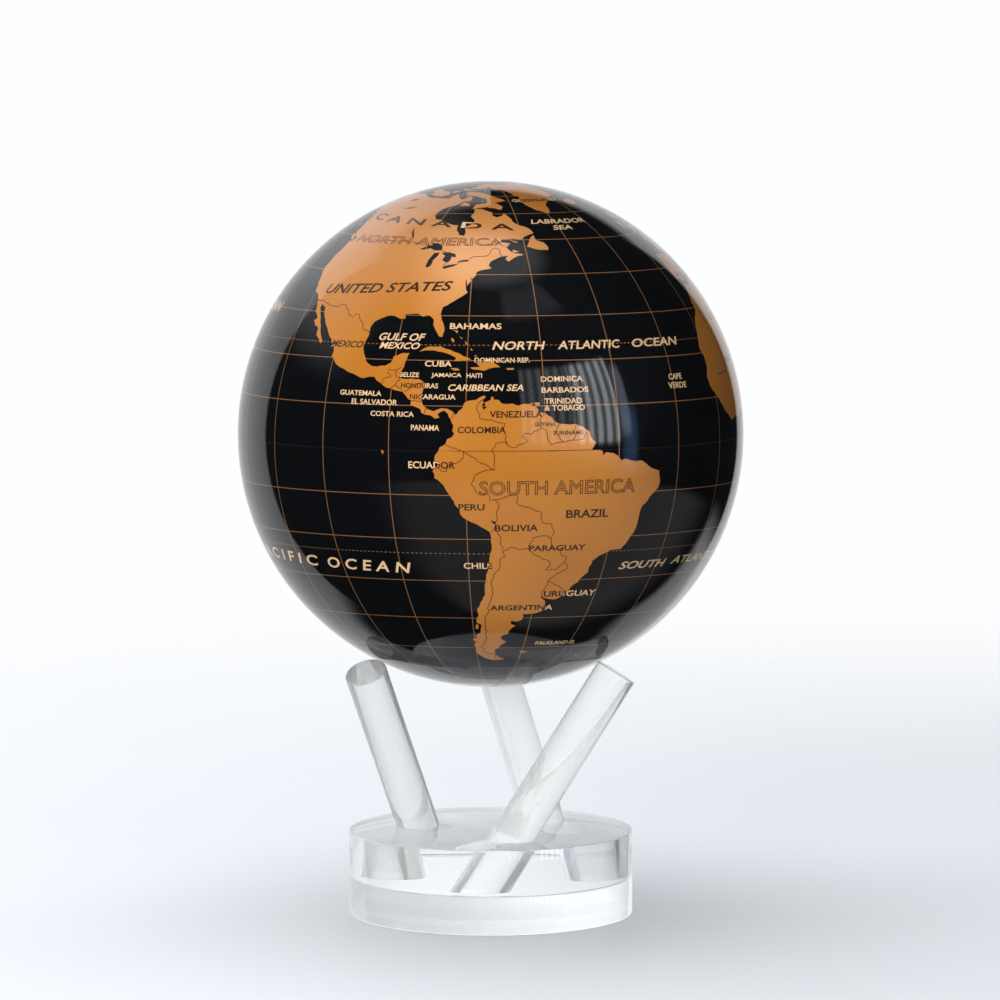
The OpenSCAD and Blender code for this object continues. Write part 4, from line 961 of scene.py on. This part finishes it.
def letterMesh(text, style):
    # letters one unit high, flat on the ground, with their foot on the x axis
    bpy.ops.object.text_add()
    words = bpy.context.object
    words.data.body = text
    words.data.resolution_u = 3
    if style == "italic":
        words.data.shear = labelSet["slant"]
    if style == "hollow":
        words.data.fill_mode = "NONE"
        words.data.bevel_depth = labelSet["hollowLine"]
        words.data.bevel_resolution = 0
    else:
        words.data.offset = labelSet["bold"]
    only(words)
    bpy.ops.object.convert(target="MESH")
    made = bpy.context.object
    corners = [vertex.co.copy() for vertex in made.data.vertices]
    faces = [list(face.vertices) for face in made.data.polygons]
    bpy.data.objects.remove(made)
    left, right = min(c.x for c in corners), max(c.x for c in corners)
    foot, top = min(c.y for c in corners if abs(c.y) < 0.2), max(c.y for c in corners)
    foot = 0 if "Q" in text or "&" in text else foot
    return [Vector(((c.x - left) / (right - left), (c.y - foot) / (top - foot), c.z)) for c in corners], faces


def label(style, text, west, east, north, height, drop=0.0):
    corners, faces = letterMesh(text, style)
    turns = []
    for degrees in (west, east):
        turn = math.radians(degrees - globeSet["middle"])
        turns.append(turn + globeSet["sideStretch"] * math.sin(turn))
    made = []
    for corner in corners:
        rise = math.radians(north + drop * corner.x) + corner.y * height * mm / globeRadius
        up = globeSet["labelLift"] + corner.z * height * mm * labelSet["hollowRise"]
        made.append(globePoint(turns[0] + (turns[1] - turns[0]) * corner.x, rise, up))
    return made, faces


goldInk = linePaint("goldLetter", (0.78, 0.50, 0.28), (0.88, 0.60, 0.36), 0.1)
darkInk = linePaint("darkLetter", (0.030, 0.012, 0.006), (0.055, 0.022, 0.010), 0.0)
for name, styles in (("placeNames", ("italic", "plain")), ("continentNames", ("hollow",))):
    thick = name == "placeNames"
    piece = wholePiece([label(style, *row) for style in styles for row in labelRows[style]], goldInk)
    piece.data.materials.append(darkInk if thick else brownInk)
    for face in piece.data.polygons:
        if overLand(face.center):
            face.material_index = 1
    if thick:
        applied(piece, "SOLIDIFY", thickness=labelSet["thick"], offset=-1)
    handOver(piece, name, "inner_globe", "printed_globe")
print("place names made,", sum(map(len, labelRows.values())), "rows")


# the works inside, which keep their CAD shapes
def brushedPaint(name, low, high, stretch, rough=0.3, scale=900.0):
    paint = Paint(name)
    streak = paint.noise(scale, 3.0, stretch)
    colour = paint.blendColour(streak, (*low, 1), (*high, 1))
    return paint.finish(Base_Color=colour, Roughness=streak * 0.2 + rough, Metallic=1.0,
                        Normal=paint.bump(streak, 0.00002, 0.4))


def mouldedPaint(name, low, high, rough=0.45, scale=1400.0):
    paint = Paint(name)
    grain = paint.noise(scale, 3.0)
    cloud = paint.noise(60.0, 2.0)
    colour = paint.blendColour(cloud, (*low, 1), (*high, 1))
    return paint.finish(Base_Color=colour, Roughness=grain * 0.15 + rough,
                        Normal=paint.bump(grain, 0.00003, 0.5))


def cellPaint():
    # dark silicon with thin silver fingers across it
    paint = Paint("lightCell")
    parts = paint.node("ShaderNodeSeparateXYZ", None, {"Vector": paint.place}).outputs
    across = Val(paint, parts[0]) + Val(paint, parts[1])
    finger = (across * 2600.0).math("SINE").math("GREATER_THAN", 0.93)
    colour = paint.blendColour(finger, (0.006, 0.010, 0.035, 1), (0.62, 0.64, 0.66, 1))
    return paint.finish(Base_Color=colour, Roughness=0.32 - finger * 0.1, Metallic=finger)


def windingPaint():
    paint = Paint("copperWindingPaintedShade")
    parts = paint.node("ShaderNodeSeparateXYZ", None, {"Vector": paint.place}).outputs
    turns = (Val(paint, parts[2]) * 18000.0).math("SINE") * 0.5 + 0.5
    # painted shade and highlight: the copper colour runs dark in the grooves between turns and bright on
    # their crests
    colour = paint.blendColour(turns, (0.30, 0.10, 0.035, 1), (0.72, 0.32, 0.14, 1))
    return paint.finish(Base_Color=colour, Roughness=0.4 - turns * 0.12, Metallic=0.9,
                        Normal=paint.bump(turns, 0.00008, 0.8))


def boardPaint():
    paint = Paint("boardResin")
    spread = {"Vector": paint.place, "Scale": 420.0}
    tracks = paint.node("ShaderNodeTexVoronoi", {"distance": "CHEBYCHEV"}, spread)
    edge = Val(paint, tracks.outputs["Distance"]).math("GREATER_THAN", 0.42)
    colour = paint.blendColour(edge, (0.010, 0.085, 0.030, 1), (0.03, 0.16, 0.06, 1))
    return paint.finish(Base_Color=colour, Roughness=0.35 + paint.noise(500.0) * 0.1,
                        Normal=paint.bump(edge, 0.00002, 0.5))


workFinishes = {
    "fill_plug": ballClear,
    "ballast_weight": brushedPaint("castBrass", (0.55, 0.37, 0.12), (0.78, 0.58, 0.25), (1, 1, 1), 0.35,
                                   scale=350.0),
    "cell_deck": mouldedPaint("deckPlastic", (0.52, 0.50, 0.44), (0.60, 0.58, 0.52)),
    "deck_screws": brushedPaint("screwSteel", (0.45, 0.45, 0.46), (0.72, 0.72, 0.73), (1, 6, 1)),
    "bridge_screws": None, "light_cells": cellPaint(), "driver_board": boardPaint(),
    "coil_bobbins": mouldedPaint("whiteNylon", (0.74, 0.74, 0.70), (0.82, 0.82, 0.79)),
    "rotor_hub": None, "drive_coils": windingPaint(),
    "bearing_bridge": brushedPaint("bridgeAlloy", (0.60, 0.61, 0.62), (0.82, 0.82, 0.83), (1, 8, 1)),
    "upper_jewel": mouldedPaint("rubyJewel", (0.42, 0.008, 0.02), (0.62, 0.02, 0.05), 0.12, 300.0),
    "lower_jewel": None,
    "axle": brushedPaint("axleSteel", (0.70, 0.70, 0.72), (0.9, 0.9, 0.9), (1, 1, 9), 0.15),
    "shutter_disc": mouldedPaint("shutterFilm", (0.020, 0.020, 0.024), (0.045, 0.045, 0.05), 0.3),
    "magnet_carrier": mouldedPaint("carrierPlastic", (0.10, 0.10, 0.11), (0.15, 0.15, 0.16)),
    "bar_magnets": brushedPaint("platedMagnet", (0.52, 0.52, 0.54), (0.76, 0.76, 0.78), (6, 1, 1), 0.25),
}
workFinishes["bridge_screws"] = workFinishes["deck_screws"]
workFinishes["rotor_hub"] = workFinishes["coil_bobbins"]
workFinishes["lower_jewel"] = workFinishes["upper_jewel"]
for name, finish in workFinishes.items():
    nodes[name].data.materials.clear()
    nodes[name].data.materials.append(finish)
    surround.objects.link(nodes[name])
print("works painted")
